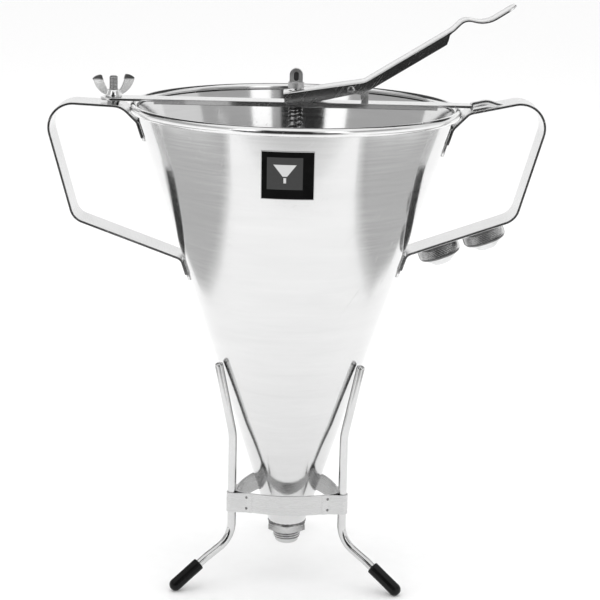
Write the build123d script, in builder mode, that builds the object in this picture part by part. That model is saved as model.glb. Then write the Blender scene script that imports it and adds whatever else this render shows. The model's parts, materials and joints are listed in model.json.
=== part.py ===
"""Hand-held piston funnel with its drop-in wire stand.

A conical hopper hangs in three wire legs. A bar across the rim guides a valve rod, a spring
holds the rod's plug in the outlet, and a thumb lever lifts it. Millimetres, +Z up, origin on
the table at the hopper's axis, +X towards the thumb lever, -Y the labelled front.
"""
from build123d import *
import os
from math import atan, atan2, cos, hypot, radians, sin, tan

os.makedirs("parts", exist_ok=True)

# ---------------------------------------------------------------- driving dimensions
# Hopper
RIM_R = 95.0          # outside radius over the rolled rim
BEAD_R = 2.5          # radius of the rolled rim's section
BEAD_OUT = 0.7        # rim bead's centre outside the cone's outer surface
CONE_H = 250.0        # rim bead's centre down to the cone's foot
MOUTH_R = 11.0        # cone's outer radius at its foot
SHEET = 0.9           # hopper sheet

# Outlet fitting, from the cone's foot down
WELD_H = 0.9
HEX_AF = 22.0
HEX_H = 3.9
THREAD_R = 8.3
THREAD_L = 5.6
NOSE_R = 7.0
NOSE_L = 2.8
NOSE_CHAMFER = 0.8
OUTLET_BORE_R = 5.0
SEAT_R = 9.6          # valve seat's countersink at the fitting's top
SEAT_H = 5.0
OUTLET_LIFT = 18.8    # outlet's nose above the table

# Handles: one bent strap each side
STRAP_W = 24.0
STRAP_T = 1.5
TAB_TOP_DROP = 8.5    # strap leaves the cone this far below the rim
LEFT_TABS = (11.0, 12.5)       # welded tabs' heights, upper and lower
RIGHT_TABS = (16.0, 13.5)
BEAD_CLEAR = 2.75 + STRAP_T / 2  # strap's first corner outside the rim
LEFT_TOP_Z = 0.2      # strap centre over the rim line, at that corner
LEFT_CORNER = (49.3, 2.1)      # outer top corner: out from the rim, up from the rim line
LEFT_LOWER = (31.2, -64.9)     # outer lower corner
LEFT_TOE_DROP = 87.6           # lower strap meets the cone this far below the rim
RIGHT_TOP_Z = 0.5
RIGHT_CORNER = (52.2, 11.1)
RIGHT_LOWER = (32.4, -60.0)
RIGHT_TOE_DROP = 82.2
LEFT_BENDS = (12.0, 14.0, 10.0)
RIGHT_BENDS = (6.0, 14.0, 11.0)

# Bar across the rim
BAR_W = 15.0
BAR_T = 1.5
BAR_RISE = 2.8        # bar's underside over the rim line
LIP_H = 2.9           # depth over the turned-down edges
LIP_T = 1.2
LIP_INSET = 14.5      # turned edges stop this far inside the rim
TONGUE_W = 11.0
TAPER_L = 6.0         # bar narrows to its tongue over this length
TONGUE_OUT = 9.5      # tongue reaches this far outside the rim
STUD_OUT = 9.0        # clamping stud's axis outside the rim
STUD_R = 2.5
STUD_TOP = 16.2       # stud's tip over the rim line
STUD_COLLAR_R = 3.6
THREAD_CHAMFER = 0.6
POCKET_W = 18.0       # pressed pocket in the right handle
POCKET_OUT = 5.0      # pocket's mouth outside the rim
POCKET_L = 20.0
POCKET_SKIN = 1.0

# Wing nut
NUT_R = 5.0
NUT_TIP_R = 3.7
NUT_H = 4.2
NUT_FOOT_H = 1.2      # hub's straight foot, under its taper
WING_FOOT = (5.4, 1.4)         # wing's outline, from the stud's axis and the nut's foot: lower end,
WING_BELLY = (10.3, 5.8)       # outer edge,
WING_TIP_OUT = (12.2, 10.2)    # outer tip corner,
WING_TIP_MID = (9.9, 12.1)     # round of the tip,
WING_TIP_IN = (7.0, 12.6)      # inner tip corner,
WING_WAIST = (5.5, 8.0)        # inner edge,
WING_ROOT = (3.4, 3.7)         # and where it meets the hub
WING_T = 2.2
NUT_TURN = 22.0       # wings' angle from the bar

# Valve rod
ROD_R = 2.5
HEAD_COLLAR_R = 4.6
HEAD_COLLAR_H = 3.3
HEAD_TONGUE_W = 7.6
HEAD_TONGUE_T = 3.0
HEAD_TOP = 22.8       # head's top over the rim line
EYE_W = 3.0
EYE_H = 5.4
EYE_WEB = 1.0         # metal left between the eye's two blind sides
EYE_DROP = 0.8        # eye's centre under the tongue's round centre
ROD_SOCKET = 2.4      # rod's depth in the head
SPRING_R = ROD_R + 1.7
SPRING_WIRE = 1.2
SPRING_L = 44.0
KEEPER_R = ROD_R + 2.1  # collar under the spring
KEEPER_H = 3.0
PLUG_R = 7.2
PLUG_H = 9.0          # plug's straight part over the seat cone
PLUG_SOCKET = 7.0
PLUG_CHAMFER = 1.5
PILOT_SHORT = 1.0     # pilot ends this far inside the nose

# Thumb lever: folded channel, then a flat thumb strip
LEVER_W = 18.4
LEVER_T = 1.2
LEVER_END = -7.0      # inner end, from the rod
LEVER_END_Z = 8.8     # web centre over the rim line at that end
BEND = (39.0, 16.3)   # web centre at the bend between the arms
ARM_TIP = (87.7, 46.6)
THUMB_HUMP = (94.0, 53.0)
THUMB_DIP = (106.5, 50.6)
THUMB_TIP = (122.5, 61.0)
LEVER_BENDS = (8.0, 8.0, 7.0, 18.0)
FLANGE_END_H = 8.0    # flange depth at the inner end, below the web's centre
FLANGE_BEND_H = 4.2   # flange depth from the bend outwards
FLANGE_TIP_CUT = 4.0  # flanges end this far short of the arm's tip
FLANGE_TIP_LEAN = 1.6  # and their end leans back by this much more
SLOT_L = 2 * ROD_R + 2.8
SLOT_W = 2 * ROD_R + 0.9
SLOT_SHIFT = -0.4     # slot's centre from the rod's axis, as the lever swings
PIVOT = (31.2, 12.2)  # from the rod's axis, over the rim line
PIN_R = 1.25
PIN_HEAD_R = 2.3
PIN_HEAD_H = 0.8
PIN_CHAMFER = 0.4
EAR_R = 1.85
EAR_T = 1.2
EAR_GAP = 0.8         # between an ear and the lever's flange
EAR_BACK = 2.2        # ear's top edge runs this far past the pivot
EAR_UNDER = 3.0       # ear's underside meets the post this far below the pivot
POST_X = (37.2, 41.2)

# Spare nozzles on studs under the right handle
NOZZLE_R = 12.35
RING_H = 7.5
RING_CHAMFER = 0.9
TIP_BASE_R = 10.0
TIP_R = 5.5
TIP_H = 4.5
NOZZLE_WALL = 1.2
THREAD_FIT = 0.3      # nozzle bore over the thread
SPARE_STUD_L = 6.4
SPARE_FIRST = 18.5    # first stud from the strap's inner bend, along the strap
SPARE_GAP = 2.6       # between the two nozzle rings
SMALL_HOLE_R = 2.0
LARGE_HOLE_R = 4.0

# Label
LABEL_W = 28.5
LABEL_H = 27.5
LABEL_DROP = 10.6
LABEL_X = -3.0
LABEL_T = 0.3

# Stand
WIRE_R = 2.5
LEG_TOP_Z = 136.5
KNEE_Z = 92.0
KNEE_GAP = 7.4        # leg's centre outside the cone at the knee
ANKLE_Z = 27.0
SHIN = (17.0, 9.8)    # ankle to instep: out, down
FOOT_OUT = 19.7       # instep to foot tip, out
LEG_BENDS = (30.0, 18.0, 30.0)
CAP_R = 3.75
CAP_L = 18.5          # cap's straight length, before its round tip
BAND_H = 12.0
BAND_Z = 44.0
BAND_T = 1.0
BAND_BOW = 0.718      # band's nearest reach to the axis, as a share of its corners' reach
BAND_CORNER_R = 4.0
CLIP_T = 0.7
CLIP_HALF = 9.5
CLIP_ROOT = (5.5, 6.1)  # where a clip leaves the band: in from the wire's centre, and to each side
CLIP_WRAP = 60.0      # angle from the leg's outward line at which the clip meets the wire's round
LEG_ANGLES = {"left": -150.0, "right": -30.0, "rear": 90.0}

# Clearances
RUN_FIT = 0.05        # shaft in its hole, radial
CLEAR = 0.3           # pieces that move past each other

# ---------------------------------------------------------------- derived levels and lines
nose_z = OUTLET_LIFT
thread_bottom_z = nose_z + NOSE_L
hex_bottom_z = thread_bottom_z + THREAD_L
hex_top_z = hex_bottom_z + HEX_H
cone_foot_z = hex_top_z + WELD_H
RIM_Z = cone_foot_z + CONE_H
bead_centre_r = RIM_R - BEAD_R
cone_top_r = bead_centre_r - BEAD_OUT
cone_slope = (cone_top_r - MOUTH_R) / CONE_H
cone_angle = atan(cone_slope)
sheet_r = SHEET / cos(cone_angle)

bar_bottom_z = RIM_Z + BAR_RISE
bar_top_z = bar_bottom_z + BAR_T
stud_x = -(RIM_R + STUD_OUT)
leg_r = MOUTH_R + cone_slope * (KNEE_Z - cone_foot_z) + KNEE_GAP


def cone_r(z):
    """Outer radius of the hopper's cone at a height."""
    return MOUTH_R + cone_slope * (z - cone_foot_z)


def off_cone(z, lift):
    """Point (radius, height) lifted off the cone's surface."""
    return (cone_r(z) + lift / cos(cone_angle), z)


def radial_plane(angle):
    """Vertical plane through the axis: x outwards at this angle, y up."""
    a = radians(angle)
    return Plane((0, 0, 0), x_dir=(cos(a), sin(a), 0), z_dir=(sin(a), -cos(a), 0))


# ---------------------------------------------------------------- hopper
with BuildPart() as hopper:
    with BuildSketch(Plane.XZ):
        with BuildLine():
            Polyline(
                (MOUTH_R, cone_foot_z),
                (cone_top_r, RIM_Z),
                (cone_top_r - sheet_r, RIM_Z),
                (MOUTH_R - sheet_r, cone_foot_z),
                close=True,
            )
        make_face()
        with Locations((bead_centre_r, RIM_Z)):
            Circle(BEAD_R)
    revolve(axis=Axis.Z)
hopper.part.label = "hopper"
export_step(hopper.part, "parts/hopper.step")

# ---------------------------------------------------------------- outlet fitting
with BuildPart() as outlet_fitting:
    with BuildSketch(Plane.XY.offset(hex_top_z)):
        Circle(MOUTH_R)
    extrude(amount=WELD_H)
    with BuildSketch(Plane.XY.offset(hex_bottom_z)):
        RegularPolygon(radius=HEX_AF / 2, side_count=6, major_radius=False, rotation=30)
    extrude(amount=HEX_H)
    with BuildSketch(Plane.XY.offset(thread_bottom_z)):
        Circle(THREAD_R)
    extrude(amount=THREAD_L)
    with BuildSketch(Plane.XY.offset(nose_z)):
        Circle(NOSE_R)
    extrude(amount=NOSE_L)
    chamfer(outlet_fitting.edges().group_by(Axis.Z)[0], NOSE_CHAMFER)
    with BuildSketch(Plane.XZ):
        with BuildLine():
            Polyline(
                (0, nose_z),
                (OUTLET_BORE_R, nose_z),
                (OUTLET_BORE_R, cone_foot_z - SEAT_H),
                (SEAT_R, cone_foot_z),
                (0, cone_foot_z),
                close=True,
            )
        make_face()
    revolve(axis=Axis.Z, mode=Mode.SUBTRACT)
outlet_fitting.part.label = "outlet_fitting"
export_step(outlet_fitting.part, "parts/outlet_fitting.step")

# ---------------------------------------------------------------- handles


def handle_line(top_z, corner, lower, toe_drop):
    """Strap's centre line for a handle on the +X side, as (x, z) corners."""
    return [
        off_cone(RIM_Z - TAB_TOP_DROP, -STRAP_T),
        (RIM_R + BEAD_CLEAR, RIM_Z + top_z),
        (RIM_R + corner[0], RIM_Z + corner[1]),
        (RIM_R + lower[0], RIM_Z + lower[1]),
        off_cone(RIM_Z - toe_drop, -STRAP_T),
    ]


left_line = handle_line(LEFT_TOP_Z, LEFT_CORNER, LEFT_LOWER, LEFT_TOE_DROP)
right_line = handle_line(RIGHT_TOP_Z, RIGHT_CORNER, RIGHT_LOWER, RIGHT_TOE_DROP)


def tab_profile(top_z, height):
    """Section of a tab that lies on the cone, from top_z down."""
    foot_z = top_z - height
    return [
        off_cone(top_z, -SHEET),
        off_cone(top_z, STRAP_T),
        off_cone(foot_z, STRAP_T),
        off_cone(foot_z, -SHEET),
    ]


def cone_core():
    """Everything inside the cone's outer surface, for cutting what lies on it."""
    core = Cone(cone_r(cone_foot_z), cone_r(RIM_Z), CONE_H, align=(Align.CENTER, Align.CENTER, Align.MIN),
                mode=Mode.PRIVATE)
    return core.moved(Location((0, 0, cone_foot_z)))


def top_line_z(line, x):
    """Height of the upper strap's centre line at a distance from the axis."""
    (x1, z1), (x2, z2) = line[1], line[2]
    return z1 + (z2 - z1) * (x - x1) / (x2 - x1)


with BuildPart() as handle_left:
    for drop, height in zip((TAB_TOP_DROP, LEFT_TOE_DROP), LEFT_TABS):
        with BuildSketch(Plane.XZ):
            with BuildLine():
                Polyline(*[(-x, z) for x, z in tab_profile(RIM_Z - drop, height)], close=True)
            make_face()
        revolve(axis=Axis.Z)
    with Locations((-RIM_R / 2 - STRAP_W / 2, 0, RIM_Z / 2)):
        Box(RIM_R, STRAP_W, RIM_Z * 2, mode=Mode.INTERSECT)
    with BuildSketch(Plane.XZ):
        with BuildLine():
            FilletPolyline(*[(-x, z) for x, z in left_line], radius=list(LEFT_BENDS))
        trace(line_width=STRAP_T)
    extrude(amount=STRAP_W / 2, both=True)
    add(cone_core(), mode=Mode.SUBTRACT)
handle_left.part.label = "handle_left"
export_step(handle_left.part, "parts/handle_left.step")

pocket_x = RIM_R + POCKET_OUT
pocket_top_z = bar_top_z + POCKET_SKIN + CLEAR
with BuildPart() as handle_right:
    for drop, height in zip((TAB_TOP_DROP, RIGHT_TOE_DROP), RIGHT_TABS):
        with BuildSketch(Plane.XZ):
            with BuildLine():
                Polyline(*tab_profile(RIM_Z - drop, height), close=True)
            make_face()
        revolve(axis=Axis.Z)
    with Locations((RIM_R / 2 + STRAP_W / 2, 0, RIM_Z / 2)):
        Box(RIM_R, STRAP_W, RIM_Z * 2, mode=Mode.INTERSECT)
    with BuildSketch(Plane.XZ):
        with BuildLine():
            FilletPolyline(*right_line, radius=list(RIGHT_BENDS))
        trace(line_width=STRAP_T)
    extrude(amount=STRAP_W / 2, both=True)
    add(cone_core(), mode=Mode.SUBTRACT)
    # the pressed pocket that takes the bar's tongue
    with BuildSketch(Plane.XZ):
        with BuildLine():
            Polyline(
                (pocket_x, top_line_z(right_line, pocket_x)),
                (pocket_x, pocket_top_z),
                (pocket_x + POCKET_L * 0.4, pocket_top_z + POCKET_SKIN),
                (pocket_x + POCKET_L, top_line_z(right_line, pocket_x + POCKET_L)),
                close=True,
            )
        make_face()
    extrude(amount=POCKET_W / 2, both=True)
    with BuildSketch(Plane.XZ):
        with BuildLine():
            inner_end = pocket_x + POCKET_L - 3 * POCKET_SKIN
            Polyline(
                (pocket_x - CLEAR, top_line_z(right_line, pocket_x) + STRAP_T / 2),
                (pocket_x - CLEAR, pocket_top_z - POCKET_SKIN),
                (pocket_x + POCKET_L * 0.4, pocket_top_z),
                (inner_end, top_line_z(right_line, inner_end) + STRAP_T / 2),
                close=True,
            )
        make_face()
    extrude(amount=POCKET_W / 2 - POCKET_SKIN, both=True, mode=Mode.SUBTRACT)
handle_right.part.label = "handle_right"
export_step(handle_right.part, "parts/handle_right.step")

# ---------------------------------------------------------------- clamping stud on the left handle
strap_up = (left_line[2][1] - left_line[1][1], 0, left_line[2][0] - left_line[1][0])
stud_foot_z = top_line_z(left_line, -stud_x)
with BuildPart() as bridge_stud:
    with BuildSketch(Plane.XY.offset(stud_foot_z)):
        with Locations((stud_x, 0)):
            Circle(STUD_COLLAR_R)
    extrude(amount=bar_bottom_z - stud_foot_z)
    with BuildSketch(Plane.XY.offset(stud_foot_z)):
        with Locations((stud_x, 0)):
            Circle(STUD_R)
    extrude(amount=RIM_Z + STUD_TOP - stud_foot_z)
    chamfer(bridge_stud.edges().group_by(Axis.Z)[-1], THREAD_CHAMFER)
    split(bisect_by=Plane((-RIM_R - BEAD_CLEAR, 0, left_line[1][1]), z_dir=strap_up).offset(STRAP_T / 2))
bridge_stud.part.label = "bridge_stud"
export_step(bridge_stud.part, "parts/bridge_stud.step")

# ---------------------------------------------------------------- bar across the rim
lip_x = RIM_R - LIP_INSET
tongue_x = RIM_R + TONGUE_OUT
with BuildPart() as bridge_bar:
    with BuildSketch(Plane.XY.offset(bar_bottom_z)):
        with BuildLine():
            l1 = Line((stud_x, BAR_W / 2), (lip_x, BAR_W / 2))
            l2 = Line(l1 @ 1, (lip_x + TAPER_L, TONGUE_W / 2))
            l3 = Line(l2 @ 1, (tongue_x, TONGUE_W / 2))
            l4 = Line(l3 @ 1, (tongue_x, -TONGUE_W / 2))
            l5 = Line(l4 @ 1, (lip_x + TAPER_L, -TONGUE_W / 2))
            l6 = Line(l5 @ 1, (lip_x, -BAR_W / 2))
            l7 = Line(l6 @ 1, (stud_x, -BAR_W / 2))
            ThreePointArc(l7 @ 1, (stud_x - BAR_W / 2, 0), l1 @ 0)
        make_face()
        with Locations((stud_x, 0)):
            Circle(STUD_R + RUN_FIT * 4, mode=Mode.SUBTRACT)
        Circle(ROD_R + RUN_FIT, mode=Mode.SUBTRACT)
    extrude(amount=BAR_T)
    with BuildSketch(Plane.XY.offset(bar_top_z)):
        for side in (1, -1):
            with Locations((0, side * (BAR_W - LIP_T) / 2)):
                Rectangle(2 * lip_x, LIP_T)
    extrude(amount=-LIP_H)
bridge_bar.part.label = "bridge_bar"
export_step(bridge_bar.part, "parts/bridge_bar.step")

# ---------------------------------------------------------------- wing nut
with BuildPart() as wing_nut:
    nut_z = bar_top_z + RUN_FIT
    with BuildSketch(Plane((stud_x, 0, nut_z), x_dir=(1, 0, 0), z_dir=(0, -1, 0))):
        with BuildLine():
            Polyline((0, 0), (NUT_R, 0), (NUT_R, NUT_FOOT_H), (NUT_TIP_R, NUT_H), (0, NUT_H), close=True)
        make_face()
    revolve(axis=Axis((stud_x, 0, 0), (0, 0, 1)))
    turn = radians(NUT_TURN)
    with BuildSketch(Plane((stud_x, 0, nut_z), x_dir=(cos(turn), sin(turn), 0),
                           z_dir=(sin(turn), -cos(turn), 0))):
        for side in (1, -1):
            foot, belly, tip_out, tip_mid, tip_in, waist, root = [
                (side * x, y)
                for x, y in (WING_FOOT, WING_BELLY, WING_TIP_OUT, WING_TIP_MID, WING_TIP_IN, WING_WAIST, WING_ROOT)
            ]
            with BuildLine():
                ThreePointArc(foot, belly, tip_out)
                ThreePointArc(tip_out, tip_mid, tip_in)
                ThreePointArc(tip_in, waist, root)
                Polyline(root, (0, WING_ROOT[1]), (0, WING_FOOT[1]), foot)
            make_face()
    extrude(amount=WING_T / 2, both=True)
    with Locations((stud_x, 0, nut_z)):
        Cylinder(STUD_R + RUN_FIT, 4 * NUT_H, mode=Mode.SUBTRACT)
wing_nut.part.label = "wing_nut"
export_step(wing_nut.part, "parts/wing_nut.step")

# ---------------------------------------------------------------- pivot bracket and pin
pivot_x = PIVOT[0]
pivot_z = RIM_Z + PIVOT[1]
inner_half = LEVER_W / 2 - LEVER_T
ear_y = inner_half - EAR_GAP
with BuildPart() as pivot_bracket:
    with BuildSketch(Plane.XZ):
        with BuildLine():
            Polyline(
                (POST_X[0], bar_top_z),
                (POST_X[1], bar_top_z),
                (POST_X[1], pivot_z),
                (pivot_x + EAR_BACK, pivot_z + EAR_R),
                (pivot_x, pivot_z + EAR_R),
                (pivot_x, pivot_z - EAR_R),
                (POST_X[0], pivot_z - EAR_UNDER),
                close=True,
            )
        make_face()
        with Locations((pivot_x, pivot_z)):
            Circle(EAR_R)
            Circle(PIN_R, mode=Mode.SUBTRACT)
    extrude(amount=ear_y, both=True)
    with Locations((pivot_x, 0, bar_top_z + EAR_T)):
        Box(2 * POST_X[1], 2 * (ear_y - EAR_T), RIM_Z, align=(Align.CENTER, Align.CENTER, Align.MIN),
            mode=Mode.SUBTRACT)
pivot_bracket.part.label = "pivot_bracket"
export_step(pivot_bracket.part, "parts/pivot_bracket.step")

with BuildPart() as pivot_pin:
    with BuildSketch(Plane.XZ):
        with Locations((pivot_x, pivot_z)):
            Circle(PIN_R)
    extrude(amount=LEVER_W / 2 + CLEAR, both=True)
    for side in (1, -1):
        with BuildSketch(Plane.XZ.offset(side * (LEVER_W / 2 + CLEAR))):
            with Locations((pivot_x, pivot_z)):
                Circle(PIN_HEAD_R)
        extrude(amount=side * PIN_HEAD_H)
    chamfer(pivot_pin.edges().group_by(Axis.Y)[0] + pivot_pin.edges().group_by(Axis.Y)[-1], PIN_CHAMFER)
pivot_pin.part.label = "pivot_pin"
export_step(pivot_pin.part, "parts/pivot_pin.step")

# ---------------------------------------------------------------- thumb lever


def at_rim(point):
    """Lever outline point, moved up to the rim line."""
    return (point[0], RIM_Z + point[1])


lever_start = at_rim((LEVER_END, LEVER_END_Z))
lever_bend = at_rim(BEND)
arm_tip = at_rim(ARM_TIP)
inner_slope = (lever_bend[1] - lever_start[1]) / (lever_bend[0] - lever_start[0])
arm_angle = atan2(arm_tip[1] - lever_bend[1], arm_tip[0] - lever_bend[0])
with BuildPart() as lever_arm:
    with BuildSketch(Plane.XZ):
        with BuildLine():
            FilletPolyline(
                lever_start, lever_bend, arm_tip, at_rim(THUMB_HUMP), at_rim(THUMB_DIP), at_rim(THUMB_TIP),
                radius=list(LEVER_BENDS),
            )
        trace(line_width=LEVER_T)
    extrude(amount=LEVER_W / 2, both=True)
    drop_x = FLANGE_BEND_H * sin(arm_angle)
    drop_z = FLANGE_BEND_H * cos(arm_angle)
    tip_x = arm_tip[0] - FLANGE_TIP_CUT
    tip_z = arm_tip[1] - FLANGE_TIP_CUT * tan(arm_angle)
    with BuildSketch(Plane.XZ):
        with BuildLine():
            Polyline(
                lever_start,
                lever_bend,
                (tip_x, tip_z),
                (tip_x + drop_x - FLANGE_TIP_LEAN, tip_z - drop_z - FLANGE_TIP_LEAN * tan(arm_angle)),
                (lever_bend[0] + drop_x, lever_bend[1] - drop_z),
                (lever_start[0], lever_start[1] - FLANGE_END_H),
                close=True,
            )
        make_face()
        with Locations((pivot_x, pivot_z)):
            Circle(PIN_R + RUN_FIT, mode=Mode.SUBTRACT)
    extrude(amount=LEVER_W / 2, both=True)
    with BuildSketch(Plane.XZ):
        with BuildLine():
            cut_start = lever_start[0] - LEVER_W
            cut_end = tip_x + LEVER_W
            cut_floor = RIM_Z - LEVER_W
            half_t = LEVER_T / 2 / cos(atan(inner_slope))
            arm_half_t = LEVER_T / 2 / cos(arm_angle)
            arm_slope = tan(arm_angle)
            knee = (arm_half_t - half_t) / (arm_slope - inner_slope)
            Polyline(
                (cut_start, lever_start[1] - LEVER_W * inner_slope - half_t),
                (lever_bend[0] + knee, lever_bend[1] + knee * inner_slope - half_t),
                (cut_end, lever_bend[1] + (cut_end - lever_bend[0]) * arm_slope - arm_half_t),
                (cut_end, cut_floor),
                (cut_start, cut_floor),
                close=True,
            )
        make_face()
    extrude(amount=inner_half, both=True, mode=Mode.SUBTRACT)
    with BuildSketch(Plane.XY.offset(RIM_Z)):
        with Locations((SLOT_SHIFT, 0)):
            SlotOverall(SLOT_L, SLOT_W)
    extrude(amount=ARM_TIP[1], mode=Mode.SUBTRACT)
lever_arm.part.label = "lever_arm"
export_step(lever_arm.part, "parts/lever_arm.step")

# ---------------------------------------------------------------- valve rod, head, spring, plug
web_top_z = lever_start[1] + inner_slope * (HEAD_COLLAR_R - lever_start[0]) + half_t
collar_z = web_top_z + CLEAR
with BuildPart() as rod_head:
    with BuildSketch(Plane.XY.offset(collar_z)):
        Circle(HEAD_COLLAR_R)
    extrude(amount=HEAD_COLLAR_H)
    tongue_h = RIM_Z + HEAD_TOP - collar_z - HEAD_COLLAR_H
    with BuildSketch(Plane.XZ):
        with Locations((0, collar_z + HEAD_COLLAR_H)):
            Rectangle(HEAD_TONGUE_W, tongue_h - HEAD_TONGUE_W / 2, align=(Align.CENTER, Align.MIN))
        with Locations((0, RIM_Z + HEAD_TOP - HEAD_TONGUE_W / 2)):
            Circle(HEAD_TONGUE_W / 2)
    extrude(amount=HEAD_TONGUE_T / 2, both=True)
    for side in (1, -1):
        with BuildSketch(Plane.XZ.offset(side * EYE_WEB / 2)):
            with Locations((0, RIM_Z + HEAD_TOP - HEAD_TONGUE_W / 2 - EYE_DROP)):
                SlotOverall(EYE_H, EYE_W, rotation=90)
        extrude(amount=side * HEAD_TONGUE_T, mode=Mode.SUBTRACT)
    with BuildSketch(Plane.XY.offset(collar_z)):
        Circle(ROD_R)
    extrude(amount=ROD_SOCKET, mode=Mode.SUBTRACT)
rod_head.part.label = "rod_head"
export_step(rod_head.part, "parts/rod_head.step")

seat_bottom_z = cone_foot_z - SEAT_H
seat_slope = (SEAT_R - OUTLET_BORE_R) / SEAT_H
plug_cone_top_z = seat_bottom_z + (PLUG_R + CLEAR - OUTLET_BORE_R) / seat_slope
plug_top_z = plug_cone_top_z + PLUG_H
with BuildPart() as valve_plug:
    with BuildSketch(Plane.XZ):
        with BuildLine():
            Polyline(
                (0, nose_z + PILOT_SHORT),
                (OUTLET_BORE_R - CLEAR, nose_z + PILOT_SHORT),
                (OUTLET_BORE_R - CLEAR, seat_bottom_z),
                (PLUG_R, plug_cone_top_z),
                (PLUG_R, plug_top_z - PLUG_CHAMFER),
                (PLUG_R - PLUG_CHAMFER, plug_top_z),
                (0, plug_top_z),
                close=True,
            )
        make_face()
    revolve(axis=Axis.Z)
    with BuildSketch(Plane.XY.offset(plug_top_z)):
        Circle(ROD_R)
    extrude(amount=-PLUG_SOCKET, mode=Mode.SUBTRACT)
valve_plug.part.label = "valve_plug"
export_step(valve_plug.part, "parts/valve_plug.step")

rod_foot_z = plug_top_z - PLUG_SOCKET
with BuildPart() as valve_rod:
    with BuildSketch(Plane.XY.offset(rod_foot_z)):
        Circle(ROD_R)
    extrude(amount=collar_z + ROD_SOCKET - rod_foot_z)
valve_rod.part.label = "valve_rod"
export_step(valve_rod.part, "parts/valve_rod.step")

spring_top_z = bar_bottom_z - RUN_FIT
spring_foot_z = spring_top_z - SPRING_L
with BuildPart() as return_spring:
    with BuildSketch(Plane.XY.offset(spring_foot_z)):
        Circle(SPRING_R)
        Circle(SPRING_R - SPRING_WIRE, mode=Mode.SUBTRACT)
    extrude(amount=SPRING_L)
return_spring.part.label = "return_spring"
export_step(return_spring.part, "parts/return_spring.step")

with BuildPart() as spring_keeper:
    with BuildSketch(Plane.XY.offset(spring_foot_z)):
        Circle(KEEPER_R)
        Circle(ROD_R, mode=Mode.SUBTRACT)
    extrude(amount=-KEEPER_H)
    chamfer(spring_keeper.edges().group_by(Axis.Z)[0].sort_by(SortBy.LENGTH)[-1], THREAD_CHAMFER)
spring_keeper.part.label = "spring_keeper"
export_step(spring_keeper.part, "parts/spring_keeper.step")

# ---------------------------------------------------------------- spare nozzles and their studs
toe_x, toe_z = off_cone(RIM_Z - RIGHT_TOE_DROP, STRAP_T / 2)
lower_x, lower_z = right_line[3]
strap_length = hypot(lower_x - toe_x, lower_z - toe_z)
along = ((lower_x - toe_x) / strap_length, (lower_z - toe_z) / strap_length)
down = (along[1], -along[0])
nozzle_pitch = 2 * NOZZLE_R + SPARE_GAP
bore_r = THREAD_R + THREAD_FIT


def spare_plane(index):
    """Plane on the strap's lower face at one stud, its z pointing out of the strap."""
    s = SPARE_FIRST + index * nozzle_pitch
    x = toe_x + along[0] * s + down[0] * STRAP_T / 2
    z = toe_z + along[1] * s + down[1] * STRAP_T / 2
    return Plane((x, 0, z), x_dir=(along[0], 0, along[1]), z_dir=(down[0], 0, down[1]))


for index, name in enumerate(("spare_stud_inner", "spare_stud_outer")):
    with BuildPart() as spare_stud:
        with BuildSketch(spare_plane(index)):
            Circle(THREAD_R)
        extrude(amount=SPARE_STUD_L)
        chamfer(spare_stud.edges().filter_by(GeomType.CIRCLE).sort_by(Axis.Z)[0], THREAD_CHAMFER)
    spare_stud.part.label = name
    export_step(spare_stud.part, f"parts/{name}.step")

for index, name, hole_r in ((0, "nozzle_small", SMALL_HOLE_R), (1, "nozzle_large", LARGE_HOLE_R)):
    seat = spare_plane(index)
    ring_top = CLEAR + RING_H
    tip_top = ring_top + TIP_H
    with BuildPart() as nozzle:
        with BuildSketch(Plane(seat.origin, x_dir=seat.x_dir, z_dir=seat.y_dir.reverse())):
            with BuildLine():
                Polyline(
                    (bore_r, CLEAR),
                    (NOZZLE_R, CLEAR),
                    (NOZZLE_R, ring_top - RING_CHAMFER),
                    (NOZZLE_R - RING_CHAMFER, ring_top),
                    (TIP_BASE_R, ring_top),
                    (TIP_R, tip_top),
                    (hole_r, tip_top),
                    (hole_r, tip_top - NOZZLE_WALL),
                    (bore_r, ring_top - NOZZLE_WALL / 2),
                    close=True,
                )
            make_face()
        revolve(axis=Axis(seat.origin, seat.z_dir))
    nozzle.part.label = name
    export_step(nozzle.part, f"parts/{name}.step")

# ---------------------------------------------------------------- label on the cone's front
with BuildPart() as label_plate:
    with BuildSketch(Plane.XZ):
        with BuildLine():
            top_z = RIM_Z - LABEL_DROP
            Polyline(
                off_cone(top_z, 0),
                off_cone(top_z, LABEL_T),
                off_cone(top_z - LABEL_H, LABEL_T),
                off_cone(top_z - LABEL_H, 0),
                close=True,
            )
        make_face()
    revolve(axis=Axis.Z)
    with Locations((LABEL_X, -RIM_R, RIM_Z)):
        Box(LABEL_W, RIM_R, 4 * LABEL_H, mode=Mode.INTERSECT)
label_plate.part.label = "label_plate"
export_step(label_plate.part, "parts/label_plate.step")

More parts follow.
